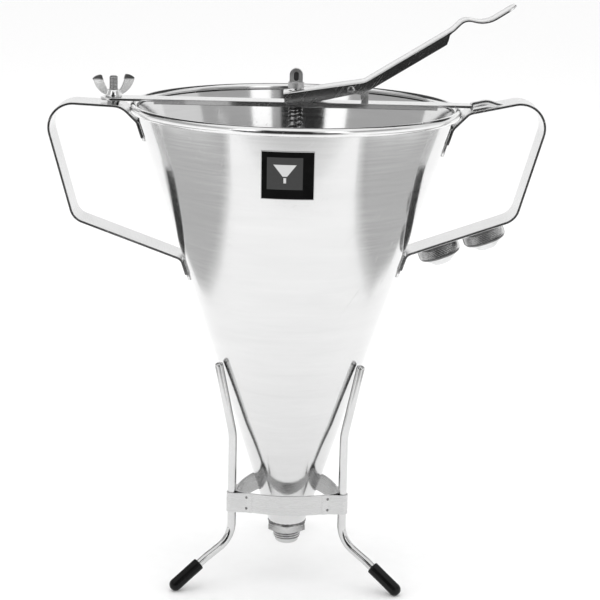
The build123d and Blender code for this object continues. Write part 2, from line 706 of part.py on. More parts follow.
# ---------------------------------------------------------------- stand legs and foot caps
foot_drop = ANKLE_Z - SHIN[1] - CAP_R
instep = (leg_r + SHIN[0], ANKLE_Z - SHIN[1])
foot_tip = (instep[0] + FOOT_OUT, CAP_R)
foot_len = hypot(FOOT_OUT, foot_drop)
foot_dir = (FOOT_OUT / foot_len, -foot_drop / foot_len)
leg_top = off_cone(LEG_TOP_Z, WIRE_R + CLEAR)
for side, angle in LEG_ANGLES.items():
    plane = radial_plane(angle)
    with BuildPart() as leg:
        with BuildLine(plane) as leg_path:
            FilletPolyline(
                leg_top,
                (leg_r, KNEE_Z),
                (leg_r, ANKLE_Z),
                instep,
                (foot_tip[0] - foot_dir[0], foot_tip[1] - foot_dir[1]),
                radius=list(LEG_BENDS),
            )
        with BuildSketch(Plane(leg_path.line @ 0, z_dir=leg_path.line % 0)):
            Circle(WIRE_R)
        sweep()
    leg.part.label = f"leg_{side}"
    export_step(leg.part, f"parts/leg_{side}.step")

    with BuildPart() as foot_cap:
        with BuildSketch(plane):
            with BuildLine():
                start = (foot_tip[0] - foot_dir[0] * CAP_L, foot_tip[1] - foot_dir[1] * CAP_L)
                across = (-foot_dir[1] * CAP_R, foot_dir[0] * CAP_R)
                edge = Line(start, (start[0] + across[0], start[1] + across[1]))
                side_line = Line(edge @ 1, (foot_tip[0] + across[0], foot_tip[1] + across[1]))
                round_tip = ThreePointArc(
                    side_line @ 1,
                    (foot_tip[0] + (foot_dir[0] * CAP_R + across[0]) * cos(radians(45)),
                     foot_tip[1] + (foot_dir[1] * CAP_R + across[1]) * sin(radians(45))),
                    (foot_tip[0] + foot_dir[0] * CAP_R, foot_tip[1] + foot_dir[1] * CAP_R),
                )
                Line(round_tip @ 1, start)
            make_face()
        cap_axis = Axis(plane.from_local_coords(start), plane.from_local_coords(foot_tip)
                        - plane.from_local_coords(start))
        revolve(axis=cap_axis)
        add(leg.part, mode=Mode.SUBTRACT)
    foot_cap.part.label = f"foot_cap_{side}"
    export_step(foot_cap.part, f"parts/foot_cap_{side}.step")

# ---------------------------------------------------------------- stand band and clips
corner_r = leg_r - WIRE_R - BAND_T / 2 + CLIP_T


def polar(radius, angle):
    return (radius * cos(radians(angle)), radius * sin(radians(angle)))


def band_outline(grow):
    """Band's plan outline: three bowed sides with rounded corners at the legs."""
    angles = list(LEG_ANGLES.values())
    with BuildSketch(Plane.XY, mode=Mode.PRIVATE) as outline:
        with BuildLine():
            for i, angle in enumerate(angles):
                following = angles[(i + 1) % len(angles)]
                middle = polar(BAND_BOW * corner_r, angle + 60)
                ThreePointArc(polar(corner_r, angle), middle, polar(corner_r, following))
        make_face()
        fillet(outline.vertices(), BAND_CORNER_R)
        offset(amount=grow, kind=Kind.ARC)
    return outline.sketch


with BuildPart() as stand_band:
    with BuildSketch(Plane.XY.offset(BAND_Z)):
        add(band_outline(BAND_T / 2))
    extrude(amount=BAND_H)
    with BuildSketch(Plane.XY.offset(BAND_Z)):
        add(band_outline(-BAND_T / 2))
    extrude(amount=BAND_H, mode=Mode.SUBTRACT)
stand_band.part.label = "stand_band"
export_step(stand_band.part, "parts/stand_band.step")


def clip_core(grow, angle):
    """Band and leg wire together in plan, with the straight runs between them filled."""
    with BuildSketch(Plane.XY, mode=Mode.PRIVATE) as core:
        add(band_outline(BAND_T / 2))
        with Locations(Rotation(0, 0, angle)):
            with BuildLine(mode=Mode.PRIVATE) as runs:
                Polyline(
                    (leg_r - CLIP_ROOT[0], -CLIP_ROOT[1]),
                    (leg_r + WIRE_R * cos(radians(CLIP_WRAP)), -WIRE_R * sin(radians(CLIP_WRAP))),
                    (leg_r + WIRE_R * cos(radians(CLIP_WRAP)), WIRE_R * sin(radians(CLIP_WRAP))),
                    (leg_r - CLIP_ROOT[0], CLIP_ROOT[1]),
                    close=True,
                )
            add(make_face(runs.line, mode=Mode.PRIVATE))
        with Locations(polar(leg_r, angle)):
            Circle(WIRE_R)
        offset(amount=grow, kind=Kind.ARC)
    return core.sketch


for side, angle in LEG_ANGLES.items():
    with BuildPart() as clip:
        with BuildSketch(Plane.XY.offset(BAND_Z)):
            add(clip_core(CLIP_T, angle))
            add(clip_core(0, angle), mode=Mode.SUBTRACT)
            with Locations(Location(polar(leg_r, angle) + (0,), (0, 0, angle))):
                Rectangle(3 * CLIP_HALF, 2 * CLIP_HALF, mode=Mode.INTERSECT)
        extrude(amount=BAND_H)
    clip.part.label = f"leg_clip_{side}"
    export_step(clip.part, f"parts/leg_clip_{side}.step")
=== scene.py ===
"""Looks of a hand-held piston funnel in its wire stand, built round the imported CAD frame."""

import json
import math

import bmesh
import bpy
from mathutils import Matrix, Vector

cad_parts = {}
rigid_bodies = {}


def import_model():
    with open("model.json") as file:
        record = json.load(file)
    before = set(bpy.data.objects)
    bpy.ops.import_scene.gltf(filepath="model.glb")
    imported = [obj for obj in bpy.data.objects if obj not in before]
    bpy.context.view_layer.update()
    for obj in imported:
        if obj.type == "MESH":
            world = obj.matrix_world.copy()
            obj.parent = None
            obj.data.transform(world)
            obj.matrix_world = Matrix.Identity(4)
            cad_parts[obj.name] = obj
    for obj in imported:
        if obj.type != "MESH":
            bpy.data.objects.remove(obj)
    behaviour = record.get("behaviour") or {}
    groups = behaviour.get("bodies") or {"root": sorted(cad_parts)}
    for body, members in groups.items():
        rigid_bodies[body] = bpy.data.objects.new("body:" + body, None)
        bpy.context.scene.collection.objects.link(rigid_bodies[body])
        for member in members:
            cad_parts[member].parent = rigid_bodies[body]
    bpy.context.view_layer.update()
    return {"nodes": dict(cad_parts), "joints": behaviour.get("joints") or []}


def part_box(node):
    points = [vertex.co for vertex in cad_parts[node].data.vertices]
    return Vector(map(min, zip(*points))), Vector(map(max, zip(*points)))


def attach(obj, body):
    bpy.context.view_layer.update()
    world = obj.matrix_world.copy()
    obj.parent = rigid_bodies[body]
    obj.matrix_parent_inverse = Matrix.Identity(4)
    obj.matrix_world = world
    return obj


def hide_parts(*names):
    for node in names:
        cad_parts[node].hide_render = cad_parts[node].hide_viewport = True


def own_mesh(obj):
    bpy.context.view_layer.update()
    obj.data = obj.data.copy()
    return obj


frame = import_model()

MM = 0.001
UP = Vector((0.0, 0.0, 1.0))
SIDE = Vector((0.0, 1.0, 0.0))

# ---------------------------------------------------------------- sizes, taken from the frame
joints = {joint["name"]: joint for joint in frame["joints"]}
hopper_lo, hopper_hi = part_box("hopper")
bead_r = 2.5 * MM
rim_r = hopper_hi.x
rim_z = hopper_hi.z - bead_r
foot_z = hopper_lo.z
sheet = 0.9 * MM
fitting_lo, fitting_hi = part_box("outlet_fitting")
mouth_r = fitting_hi.x
cone_top_r = rim_r - bead_r - 0.7 * MM
cone_slope = (cone_top_r - mouth_r) / (rim_z - foot_z)
cone_angle = math.atan(cone_slope)
strap_half_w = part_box("handle_left")[1].y
strap_t = 1.5 * MM
bar_lo, bar_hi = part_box("bridge_bar")
bar_t = 1.5 * MM
pivot = Vector(joints["lever_press"]["pos_m"])


def cone_r(z):
    """Outer radius of the hopper's cone at a height."""
    return mouth_r + cone_slope * (z - foot_z)


def off_cone(z, lift):
    """Point (radius, height) lifted off the cone's outer surface."""
    return (cone_r(z) + lift / math.cos(cone_angle), z)


# ---------------------------------------------------------------- mesh helpers
def rounded(points, radii, closed=False, step=9.0):
    """Corner points in a plane, with each corner turned by an arc of its radius."""
    pts = [Vector(p) for p in points]
    count = len(pts)
    corners = range(count) if closed else range(1, count - 1)
    path = [] if closed else [pts[0]]
    for k in corners:
        before, here, after = pts[k - 1], pts[k], pts[(k + 1) % count]
        back, ahead = (before - here), (after - here)
        radius = radii[k if closed else k - 1] if isinstance(radii, (list, tuple)) else radii
        turn = math.pi - back.angle(ahead)
        reach = radius * math.tan(turn / 2)
        limit = 0.49 * min(back.length, ahead.length)
        if turn < 0.02 or reach < 1e-7:
            path.append(here)
            continue
        if reach > limit:
            radius, reach = radius * limit / reach, limit
        back.normalize()
        ahead.normalize()
        centre = here + (back + ahead).normalized() * (radius / math.cos(turn / 2))
        arm = here + back * reach - centre
        sign = 1.0 if back.x * ahead.y - back.y * ahead.x < 0 else -1.0
        steps = max(2, round(math.degrees(turn) / step))
        for i in range(steps + 1):
            a = sign * turn * i / steps
            path.append(centre + Vector((arm.x * math.cos(a) - arm.y * math.sin(a),
                                         arm.x * math.sin(a) + arm.y * math.cos(a))))
    if not closed:
        path.append(pts[-1])
    return path


def arc_through(start, middle, end, steps=8):
    """Points of the circular arc through three points, in a plane."""
    (ax, ay), (bx, by), (cx, cy) = start, middle, end
    twice = 2 * (ax * (by - cy) + bx * (cy - ay) + cx * (ay - by))
    a2, b2, c2 = ax * ax + ay * ay, bx * bx + by * by, cx * cx + cy * cy
    ox = (a2 * (by - cy) + b2 * (cy - ay) + c2 * (ay - by)) / twice
    oy = (a2 * (cx - bx) + b2 * (ax - cx) + c2 * (bx - ax)) / twice
    radius = math.hypot(ax - ox, ay - oy)
    first, last = math.atan2(ay - oy, ax - ox), math.atan2(cy - oy, cx - ox)
    sweep_angle = (last - first + math.pi) % (2 * math.pi) - math.pi
    return [(ox + radius * math.cos(first + sweep_angle * k / steps),
             oy + radius * math.sin(first + sweep_angle * k / steps)) for k in range(steps + 1)]


def new_piece(name, bm, sharp=32.0, outward=True):
    """Mesh object from a bmesh, faces outwards, smooth except across sharp edges."""
    bmesh.ops.remove_doubles(bm, verts=bm.verts, dist=1e-7)
    if outward:
        bmesh.ops.recalc_face_normals(bm, faces=bm.faces)
    mesh = bpy.data.meshes.new(name)
    bm.to_mesh(mesh)
    bm.free()
    mesh.shade_smooth()
    mesh.set_sharp_from_angle(angle=math.radians(sharp))
    piece = bpy.data.objects.new(name, mesh)
    bpy.context.scene.collection.objects.link(piece)
    return piece


def lathe(bm, profile, segments, place):
    """Turns a closed (radius, height) profile about Z, then places it by a matrix."""
    rings = []
    for i in range(segments):
        a = 2 * math.pi * i / segments
        rings.append([bm.verts.new((r * math.cos(a), r * math.sin(a), z)) for r, z in profile])
    count = len(profile)
    for i in range(segments):
        ring, following = rings[i], rings[(i + 1) % segments]
        for k in range(count):
            m = (k + 1) % count
            if profile[k][0] < 1e-9 and profile[m][0] < 1e-9:
                continue
            corners = [ring[k], following[k], following[m], ring[m]]
            if profile[k][0] < 1e-9:
                corners = [ring[k], following[m], ring[m]]
            elif profile[m][0] < 1e-9:
                corners = [ring[k], following[k], ring[m]]
            bm.faces.new(corners)
    if place is not None:
        bmesh.ops.transform(bm, matrix=place, verts=bm.verts)


def turned(name, profile, ease=0.0, segments=128, place=None):
    """A turned piece: its profile's corners eased by a small radius."""
    if ease:
        profile = [tuple(p) for p in rounded(profile, ease, closed=True, step=22.0)]
    profile = [(max(r, 0.0), z) for r, z in profile]
    bm = bmesh.new()
    lathe(bm, profile, segments, place)
    return new_piece(name, bm)


def skin_between(bm, rings):
    """Faces between neighbouring rings of points."""
    for ring, following in zip(rings, rings[1:]):
        for k in range(len(ring)):
            m = (k + 1) % len(ring)
            bm.faces.new((ring[k], ring[m], following[m], following[k]))


def closed_skin(bm, rings):
    """Skin between rings of points, with both ends closed."""
    skin_between(bm, rings)
    bm.faces.new(rings[0])
    bm.faces.new(rings[-1][::-1])


def skin_grid(bm, grid, flip=False):
    """Faces between the points of a grid of rows."""
    for row, following in zip(grid, grid[1:]):
        for k in range(len(row) - 1):
            quad = [row[k], row[k + 1], following[k + 1], following[k]]
            bm.faces.new(quad[::-1] if flip else quad)


def cone_plate(rows, columns, thick, spot):
    """Thin plate on the cone; spot(down, across, lift) is its point, down and across from 0 to 1."""
    bm = bmesh.new()
    layers = [[[bm.verts.new(spot(i / rows, k / columns, lift)) for k in range(columns + 1)]
               for i in range(rows + 1)] for lift in (thick, 0.02 * MM)]
    for grid in layers:
        skin_grid(bm, grid)
    rim = ([(0, k) for k in range(columns)] + [(i, columns) for i in range(rows)]
           + [(rows, k) for k in range(columns, 0, -1)] + [(i, 0) for i in range(rows, 0, -1)])
    skin_between(bm, [[grid[i][k] for i, k in rim] for grid in layers])
    return bm


def sweep(bm, path, section, out):
    """Skins a closed section along a path in the vertical plane that holds `out` and Z.

    section(i) gives (across, off) points: across the plane, and off the path within it.
    """
    across = out.cross(UP)
    rings = []
    for i, here in enumerate(path):
        before = (here - path[i - 1]).normalized() if i else (path[1] - here).normalized()
        after = (path[i + 1] - here).normalized() if i + 1 < len(path) else before
        tangent = (before + after).normalized()
        miter = 1.0 / max(tangent.dot(after), 0.5)
        normal = Vector((-tangent.y, tangent.x))
        ring = []
        for side, off in section(i):
            flat = here + normal * off * miter
            ring.append(bm.verts.new(out * flat.x + UP * flat.y + across * side))
        rings.append(ring)
    closed_skin(bm, rings)


def box_section(half_w, half_t, corner):
    """Rounded rectangle as (across, off) points."""
    corners = [(half_w, half_t), (-half_w, half_t), (-half_w, -half_t), (half_w, -half_t)]
    return [tuple(p) for p in rounded(corners, corner, closed=True, step=30.0)]


def ring_section(radius, count=20):
    """Circle as (across, off) points."""
    return [(radius * math.cos(2 * math.pi * i / count), radius * math.sin(2 * math.pi * i / count))
            for i in range(count)]


def evaluated(piece):
    """Applies a piece's modifiers to its mesh."""
    bpy.context.view_layer.update()
    depsgraph = bpy.context.evaluated_depsgraph_get()
    mesh = bpy.data.meshes.new_from_object(piece.evaluated_get(depsgraph))
    piece.modifiers.clear()
    piece.data = mesh
    return piece


def flattened(piece):
    """Lets the broad flats keep their own normals, so that only the eased edges turn."""
    piece.modifiers.new("flats", "WEIGHTED_NORMAL").keep_sharp = True
    return evaluated(piece)


def shade_by_angle(piece, angle):
    """Smooth shading, except across edges sharper than an angle."""
    piece.data.shade_smooth()
    piece.data.set_sharp_from_angle(angle=math.radians(angle))


def ease_edges(piece, width, segments, angle):
    """Rounds the edges that are sharper than an angle."""
    bevel = piece.modifiers.new("ease", "BEVEL")
    bevel.width = width
    bevel.segments = segments
    bevel.limit_method = "ANGLE"
    bevel.angle_limit = math.radians(angle)
    return evaluated(piece)


def softened(name, node, width, segments=2):
    """Copy of a CAD node's mesh with its flats joined and its sharp edges eased."""
    angle = 38.0
    bm = bmesh.new()
    bm.from_mesh(frame["nodes"][node].data)
    bmesh.ops.remove_doubles(bm, verts=bm.verts, dist=1e-6)
    bmesh.ops.dissolve_limit(bm, angle_limit=math.radians(0.4), verts=bm.verts, edges=bm.edges)
    piece = ease_edges(new_piece(name, bm, sharp=angle, outward=False), width, segments, angle)
    shade_by_angle(piece, angle)
    return flattened(piece)


def axis_matrix(origin, direction):
    """Matrix that puts local Z along a direction, at an origin."""
    turn = UP.rotation_difference(Vector(direction)).to_matrix().to_4x4()
    return Matrix.Translation(origin) @ turn


# ---------------------------------------------------------------- node trees
class Tree:
    """Short way to write a geometry or shader node tree."""

    def __init__(self, tree):
        self.tree = tree

    def set(self, socket, value):
        """Links a socket, or gives it a plain value."""
        if isinstance(value, bpy.types.NodeSocket):
            self.tree.links.new(value, socket)
        else:
            socket.default_value = value

    def node(self, kind, inputs=None, **settings):
        """Adds a node with its settings and what its inputs take; returns its outputs."""
        made = self.tree.nodes.new(kind)
        for key, value in settings.items():
            setattr(made, key, value)
        for label, value in (inputs or {}).items():
            self.set(made.inputs[label], value)
        return made.outputs

    def math(self, operation, *values):
        return self.node("ShaderNodeMath", dict(enumerate(values)), operation=operation)[0]

    def times(self, a, b):
        return self.math("MULTIPLY", a, b)

    def xyz(self, x, y, z):
        return self.node("ShaderNodeCombineXYZ", {"X": x, "Y": y, "Z": z})[0]

    def polar(self, angle, radius, height):
        """Vector at an angle and radius about Z."""
        return self.xyz(self.times(self.math("COSINE", angle), radius),
                        self.times(self.math("SINE", angle), radius), height)

    def parts(self, vector):
        """X, Y and Z of a vector."""
        return self.node("ShaderNodeSeparateXYZ", {0: vector})

    def outward(self, spot):
        """Level unit vector from the Z axis towards a split point."""
        flat = self.xyz(spot["X"], spot["Y"], 0.0)
        return self.node("ShaderNodeVectorMath", {0: flat}, operation="NORMALIZE")[0]

    def noise(self, vector, scale, detail, **more):
        inputs = {"Vector": vector, "Scale": scale, "Detail": detail, **more}
        return self.node("ShaderNodeTexNoise", inputs)[0]


def add_sockets(tree, way, sockets):
    """Gives a node group its named inputs or outputs."""
    for label, kind, default in sockets:
        socket = tree.interface.new_socket(name=label, in_out=way, socket_type="NodeSocket" + kind)
        if default is not None:
            socket.default_value = default


def growth_tree(name, inputs):
    """Geometry node tree with named inputs; returns the writer, its inputs and a closer."""
    tree = bpy.data.node_groups.new(name, "GeometryNodeTree")
    geometry_socket = [("Geometry", "Geometry", None)]
    add_sockets(tree, "INPUT", geometry_socket + inputs + [("Material", "Material", None)])
    add_sockets(tree, "OUTPUT", geometry_socket)
    write = Tree(tree)
    given = write.node("NodeGroupInput")

    def close(geometry):
        real = write.node("GeometryNodeRealizeInstances", {"Geometry": geometry})
        painted = write.node("GeometryNodeSetMaterial", {
            "Geometry": real["Geometry"], "Material": given["Material"]})
        write.node("NodeGroupOutput", {"Geometry": painted["Geometry"]})
        return tree

    return write, given, close


def coil_tree():
    """Round wire wound on a cylinder: springs and thread crests."""
    write, given, close = growth_tree("coil", [
        ("Turns", "Float", 8.0), ("Radius", "Float", 0.004), ("Height", "Float", 0.04),
        ("Wire", "Float", 0.0006), ("Closing", "Float", 0.0), ("Steps", "Int", 200), ("Sides", "Int", 8)])
    line = write.node("GeometryNodeCurvePrimitiveLine")
    points = write.node("GeometryNodeResampleCurve", {"Curve": line["Curve"], "Count": given["Steps"]})
    along = write.node("GeometryNodeSplineParameter")["Factor"]
    angle = write.times(write.times(along, given["Turns"]), 2 * math.pi)
    wave = write.math("SINE", write.times(along, 2 * math.pi))
    gathered = write.times(write.times(wave, given["Closing"]), 0.5 / math.pi)
    height = write.times(write.math("SUBTRACT", along, gathered), given["Height"])
    wound = write.node("GeometryNodeSetPosition", {
        "Geometry": points["Curve"], "Position": write.polar(angle, given["Radius"], height)})
    rod = write.node("GeometryNodeCurvePrimitiveCircle", {
        "Resolution": given["Sides"], "Radius": given["Wire"]})
    skin = write.node("GeometryNodeCurveToMesh", {
        "Curve": wound["Geometry"], "Profile Curve": rod["Curve"], "Fill Caps": True})
    return close(write.node("GeometryNodeSetShadeSmooth", {"Geometry": skin["Mesh"]})["Geometry"])


def knurl_tree():
    """Band of slanting ribs round a cylinder."""
    write, given, close = growth_tree("knurl", [
        ("Radius", "Float", 0.012), ("Depth", "Float", 0.0004), ("Height", "Float", 0.006),
        ("Count", "Int", 72), ("Slant", "Int", 3)])
    grid = write.node("GeometryNodeMeshGrid", {
        "Size X": 1.0, "Size Y": 1.0,
        "Vertices X": write.math("MULTIPLY_ADD", given["Count"], 4.0, 1.0),
        "Vertices Y": write.math("MULTIPLY_ADD", given["Slant"], 4.0, 1.0)})
    spot = write.parts(write.node("GeometryNodeInputPosition")["Position"])
    u = write.math("ADD", spot["X"], 0.5)
    v = write.math("ADD", spot["Y"], 0.5)
    teeth = write.math("ADD", write.times(u, given["Count"]), write.times(v, given["Slant"]))
    phase = write.math("FRACT", write.math("ADD", teeth, 0.001))
    cut = write.times(write.math("ABSOLUTE", write.math("SUBTRACT", phase, 0.5)), given["Depth"])
    place = write.polar(write.times(u, 2 * math.pi), write.math("SUBTRACT", given["Radius"], cut),
                        write.times(v, given["Height"]))
    ribs = write.node("GeometryNodeSetPosition", {"Geometry": grid["Mesh"], "Position": place})
    weld = write.node("GeometryNodeMergeByDistance", {"Geometry": ribs["Geometry"], "Distance": 1e-6})
    return close(weld["Geometry"])


def dimple_tree():
    """A flattened dome on each point, turned the way the point's `facing` says: spot welds."""
    write, given, close = growth_tree("dimples", [("Radius", "Float", 0.001), ("Rise", "Float", 0.0002)])
    ball = write.node("GeometryNodeMeshUVSphere", {"Segments": 16, "Rings": 8, "Radius": 1.0})
    facing = write.node("GeometryNodeInputNamedAttribute", {"Name": "facing"}, data_type="FLOAT_VECTOR")
    turn = write.node("FunctionNodeAlignRotationToVector", {"Vector": facing["Attribute"]}, axis="Z")
    copies = write.node("GeometryNodeInstanceOnPoints", {
        "Points": given["Geometry"], "Instance": ball["Mesh"], "Rotation": turn["Rotation"],
        "Scale": write.xyz(given["Radius"], given["Radius"], given["Rise"])})
    return close(write.node("GeometryNodeSetShadeSmooth", {"Geometry": copies["Instances"]})["Geometry"])


def grow(tree, name, values, place=None, points=None):
    """Runs a growth tree and keeps its mesh as a plain piece."""
    mesh = bpy.data.meshes.new(name)
    if points:
        mesh.from_pydata([at for at, _ in points], [], [])
        facing = mesh.attributes.new("facing", "FLOAT_VECTOR", "POINT")
        for k, (_, direction) in enumerate(points):
            facing.data[k].vector = direction
    piece = bpy.data.objects.new(name, mesh)
    bpy.context.scene.collection.objects.link(piece)
    growth = piece.modifiers.new("grow", "NODES")
    growth.node_group = tree
    for item in tree.interface.items_tree:
        if item.in_out == "INPUT" and item.name in values:
            growth[item.identifier] = values[item.name]
    evaluated(piece)
    if place is not None:
        piece.data.transform(place)
    return piece


def joined(name, pieces):
    """One piece from several meshes that share a place in the frame."""
    target = pieces[0]
    bpy.ops.object.select_all(action="DESELECT")
    for piece in pieces:
        piece.select_set(True)
    bpy.context.view_layer.objects.active = target
    bpy.ops.object.join()
    target.name = name
    target.data.name = name
    return target


# ---------------------------------------------------------------- shader groups
def effect_group(name, inputs, outputs):
    """Shader node group with a Vector and named inputs; returns the writer, its inputs and its outputs."""
    group = bpy.data.node_groups.new(name, "ShaderNodeTree")
    add_sockets(group, "INPUT", [("Vector", "Vector", None)] + inputs)
    add_sockets(group, "OUTPUT", [(label, "Float", None) for label in outputs])
    write = Tree(group)
    return write, write.node("NodeGroupInput"), group.nodes.new("NodeGroupOutput").inputs


def round_grain():
    """Fine lines that run round the Z axis, as a lathe's belt leaves them."""
    write, given, result = effect_group("round_grain", [
        ("Lines", "Float", 900.0), ("Wander", "Float", 1.5)], ["Line", "Band"])
    spot = write.parts(given["Vector"])
    way = write.parts(write.outward(spot))
    for label, lines, wander in (("Line", 1.0, 1.0), ("Band", 0.12, 0.5)):
        turn = write.times(given["Wander"], wander)
        drawn = write.xyz(write.times(way["X"], turn), write.times(way["Y"], turn),
                          write.times(write.times(spot["Z"], given["Lines"]), lines))
        write.set(result[label], write.noise(drawn, 1.0, 3.0, Roughness=0.65))
    return write.tree


def strip_grain():
    """Fine lines along a flat strip that is wide in Y."""
    write, given, result = effect_group("strip_grain", [
        ("Across", "Float", 4000.0), ("Along", "Float", 60.0)], ["Line"])
    spot = write.parts(given["Vector"])
    drawn = write.xyz(write.times(spot["X"], given["Along"]), write.times(spot["Y"], given["Across"]),
                      write.times(spot["Z"], given["Along"]))
    write.set(result["Line"], write.noise(drawn, 1.0, 4.0, Roughness=0.7))
    return write.tree


def handling():
    """Soft smears and a few fine scratches that handling and washing leave."""
    write, given, result = effect_group("handling", [("Size", "Float", 45.0)], ["Smear", "Scratch"])
    smear = write.noise(given["Vector"], given["Size"], 3.0, Distortion=0.4)
    write.set(result["Smear"], smear)
    tilted = write.node("ShaderNodeVectorRotate", {
        "Vector": given["Vector"], "Rotation": (0.5, 0.9, 0.4)}, rotation_type="EULER_XYZ")[0]
    drawn = write.node("ShaderNodeVectorMath", {0: tilted, 1: (1.0, 34.0, 34.0)}, operation="MULTIPLY")[0]
    thin = write.math("GREATER_THAN", write.noise(drawn, given["Size"], 1.0), 0.70)
    faint = write.math("GREATER_THAN", smear, 0.5)
    write.set(result["Scratch"], write.times(thin, faint))
    return write.tree


def cast_skin():
    """Fine pebbled skin of tumbled or cast metal and of dipped vinyl."""
    write, given, result = effect_group("cast_skin", [("Size", "Float", 1400.0)], ["Height", "Mottle"])
    for label, scale, detail in (("Height", 1.0, 2.0), ("Mottle", 0.12, 4.0)):
        write.set(result[label], write.noise(given["Vector"], write.times(given["Size"], scale), detail))
    return write.tree


def painted_inner_shade():
    """Mask of the faces that look towards the Z axis, where painted shade darkens the colour as if the cone
    shaded them.
    """
    write, given, result = effect_group("painted_inner_shade", [("Normal", "Vector", None)], ["Mask"])
    away = write.outward(write.parts(given["Vector"]))
    facing = write.node("ShaderNodeVectorMath", {0: away, 1: given["Normal"]}, operation="DOT_PRODUCT")
    write.set(result["Mask"], write.node("ShaderNodeMapRange", {
        "Value": write.times(facing["Value"], -1.0), "From Min": 0.15, "From Max": 0.75},
        interpolation_type="SMOOTHSTEP")[0])
    return write.tree


ROUND_GRAIN, STRIP_GRAIN, HANDLING, CAST_SKIN = round_grain(), strip_grain(), handling(), cast_skin()
PAINTED_INNER_SHADE = painted_inner_shade()


def grey(value):
    return (value, value, value, 1.0)


class Finish(Tree):
    """One material: its Principled shader and helpers that place effects on it."""

    def __init__(self, name, metallic, **constants):
        self.material = bpy.data.materials.new(name)
        self.material.use_nodes = True
        super().__init__(self.material.node_tree)
        self.tree.nodes.clear()
        out = self.tree.nodes.new("ShaderNodeOutputMaterial")
        self.skin = self.tree.nodes.new("ShaderNodeBsdfPrincipled")
        self.tree.links.new(self.skin.outputs[0], out.inputs["Surface"])
        self.feed("Metallic", metallic)
        for label, value in constants.items():
            self.feed(label.replace("_", " "), value)
        place = self.node("ShaderNodeTexCoord")
        self.spot, self.facing = place["Object"], place["Normal"]

    def feed(self, label, value):
        """Gives the shader's input a value or a link."""
        self.set(self.skin.inputs[label], value)

    def effect(self, group, **values):
        """Outputs of an effect group, placed by the piece's own coordinates."""
        return self.node("ShaderNodeGroup", {"Vector": self.spot, **values}, node_tree=group)

    def spread(self, value, low, high):
        """A 0-1 value stretched from its middle range to low-high."""
        return self.node("ShaderNodeMapRange", {
            "Value": value, "From Min": 0.3, "From Max": 0.7, "To Min": low, "To Max": high})[0]

    def mix(self, mask, first, second):
        """Colour between two colours or colour sockets."""
        blend = self.tree.nodes.new("ShaderNodeMix")
        blend.data_type = "RGBA"
        self.set(blend.inputs["Factor"], mask)
        for label, value in (("A", first), ("B", second)):
            socket = [s for s in blend.inputs if s.name == label and s.type == "RGBA"][0]
            self.set(socket, value)
        return [s for s in blend.outputs if s.type == "RGBA"][0]

    def tones(self, value, low, high):
        """Grey that runs from low to high with a 0-1 value."""
        return self.mix(self.spread(value, 0.0, 1.0), grey(low), grey(high))

    def colour(self, metal, inner=None):
        """Base colour, with a painted shade's darker tone on the faces towards the Z axis where one is given.
        """
        if inner is not None:
            # The faces towards the Z axis take the inner tone as painted shade.
            metal = self.mix(self.effect(PAINTED_INNER_SHADE, Normal=self.facing)["Mask"], metal, grey(inner))
        self.feed("Base Color", metal)

    def worn(self, base, touch, smear, scratch):
        """Roughness with the marks of handling added."""
        soiled = self.math("MULTIPLY_ADD", touch["Smear"], smear, base)
        self.feed("Roughness", self.math("MULTIPLY_ADD", touch["Scratch"], scratch, soiled))

    def bump(self, height, strength, distance):
        """Fine relief from a height, in metres."""
        self.feed("Normal", self.node("ShaderNodeBump", {
            "Strength": strength, "Distance": distance, "Height": height})["Normal"])


def round_steel(name, tone, rough, lines=900.0, grain=0.10, line_bump=0.12, spread=0.0, inner=None):
    """Stainless steel brushed round the Z axis; spread draws its highlights out along Z; inner is a painted
    shade's tone.
    """
    finish = Finish(name, 1.0, Anisotropic=spread, Anisotropic_Rotation=0.25)
    brush = finish.effect(ROUND_GRAIN, Lines=lines, Wander=1.5)
    touch = finish.effect(HANDLING, Size=28.0)
    shade = finish.math("MULTIPLY_ADD", brush["Band"], 0.6, finish.times(brush["Line"], 0.4))
    finish.colour(finish.tones(shade, tone - 0.035, tone + 0.03), inner)
    finish.worn(finish.spread(brush["Line"], rough - grain / 2, rough + grain / 2), touch, 0.05, 0.10)
    finish.bump(brush["Line"], line_bump, 0.00005)
    return finish.material


def strip_steel(name, tone, rough, grain, line_bump):
    """Stainless strip, brushed along its length."""
    finish = Finish(name, 1.0)
    brush = finish.effect(STRIP_GRAIN, Across=3200.0, Along=45.0)
    touch = finish.effect(HANDLING, Size=60.0)
    finish.colour(finish.tones(brush["Line"], tone - 0.04, tone + 0.03))
    finish.worn(finish.spread(brush["Line"], rough - grain / 2, rough + grain / 2), touch, 0.10, 0.15)
    finish.bump(brush["Line"], line_bump, 0.00004)
    return finish.material


def polished_steel(name, tone, rough, size=90.0, inner=None):
    """Bright drawn or turned steel with faint handling marks; inner is the tone of a painted shade on the
    faces towards the Z axis.
    """
    finish = Finish(name, 1.0)
    touch = finish.effect(HANDLING, Size=size)
    finish.colour(finish.tones(touch["Smear"], tone - 0.04, tone + 0.02), inner)
    finish.worn(finish.spread(touch["Smear"], rough - 0.03, rough + 0.05), touch, 0.0, 0.15)
    finish.bump(touch["Smear"], 0.05, 0.0001)
    return finish.material


def tumbled_metal(name, tone, rough, size=1400.0, bump=0.35, dark_above=1.0):
    """Cast or pressed metal with a tumbled skin, darker in colour above a height."""
    finish = Finish(name, 1.0)
    skin = finish.effect(CAST_SKIN, Size=size)
    past = finish.times(finish.math("SUBTRACT", finish.parts(finish.spot)["Z"], dark_above), 700.0)
    past = finish.times(past, finish.spread(skin["Mottle"], 0.5, 1.8))
    darkening = finish.math("MINIMUM", finish.math("MAXIMUM", past, 0.0), 1.0)
    finish.colour(finish.mix(darkening, finish.tones(skin["Mottle"], tone - 0.08, tone + 0.05), grey(0.10)))
    finish.feed("Roughness", finish.spread(skin["Mottle"], rough - 0.08, rough + 0.10))
    finish.bump(skin["Height"], bump, 0.00012)
    return finish.material


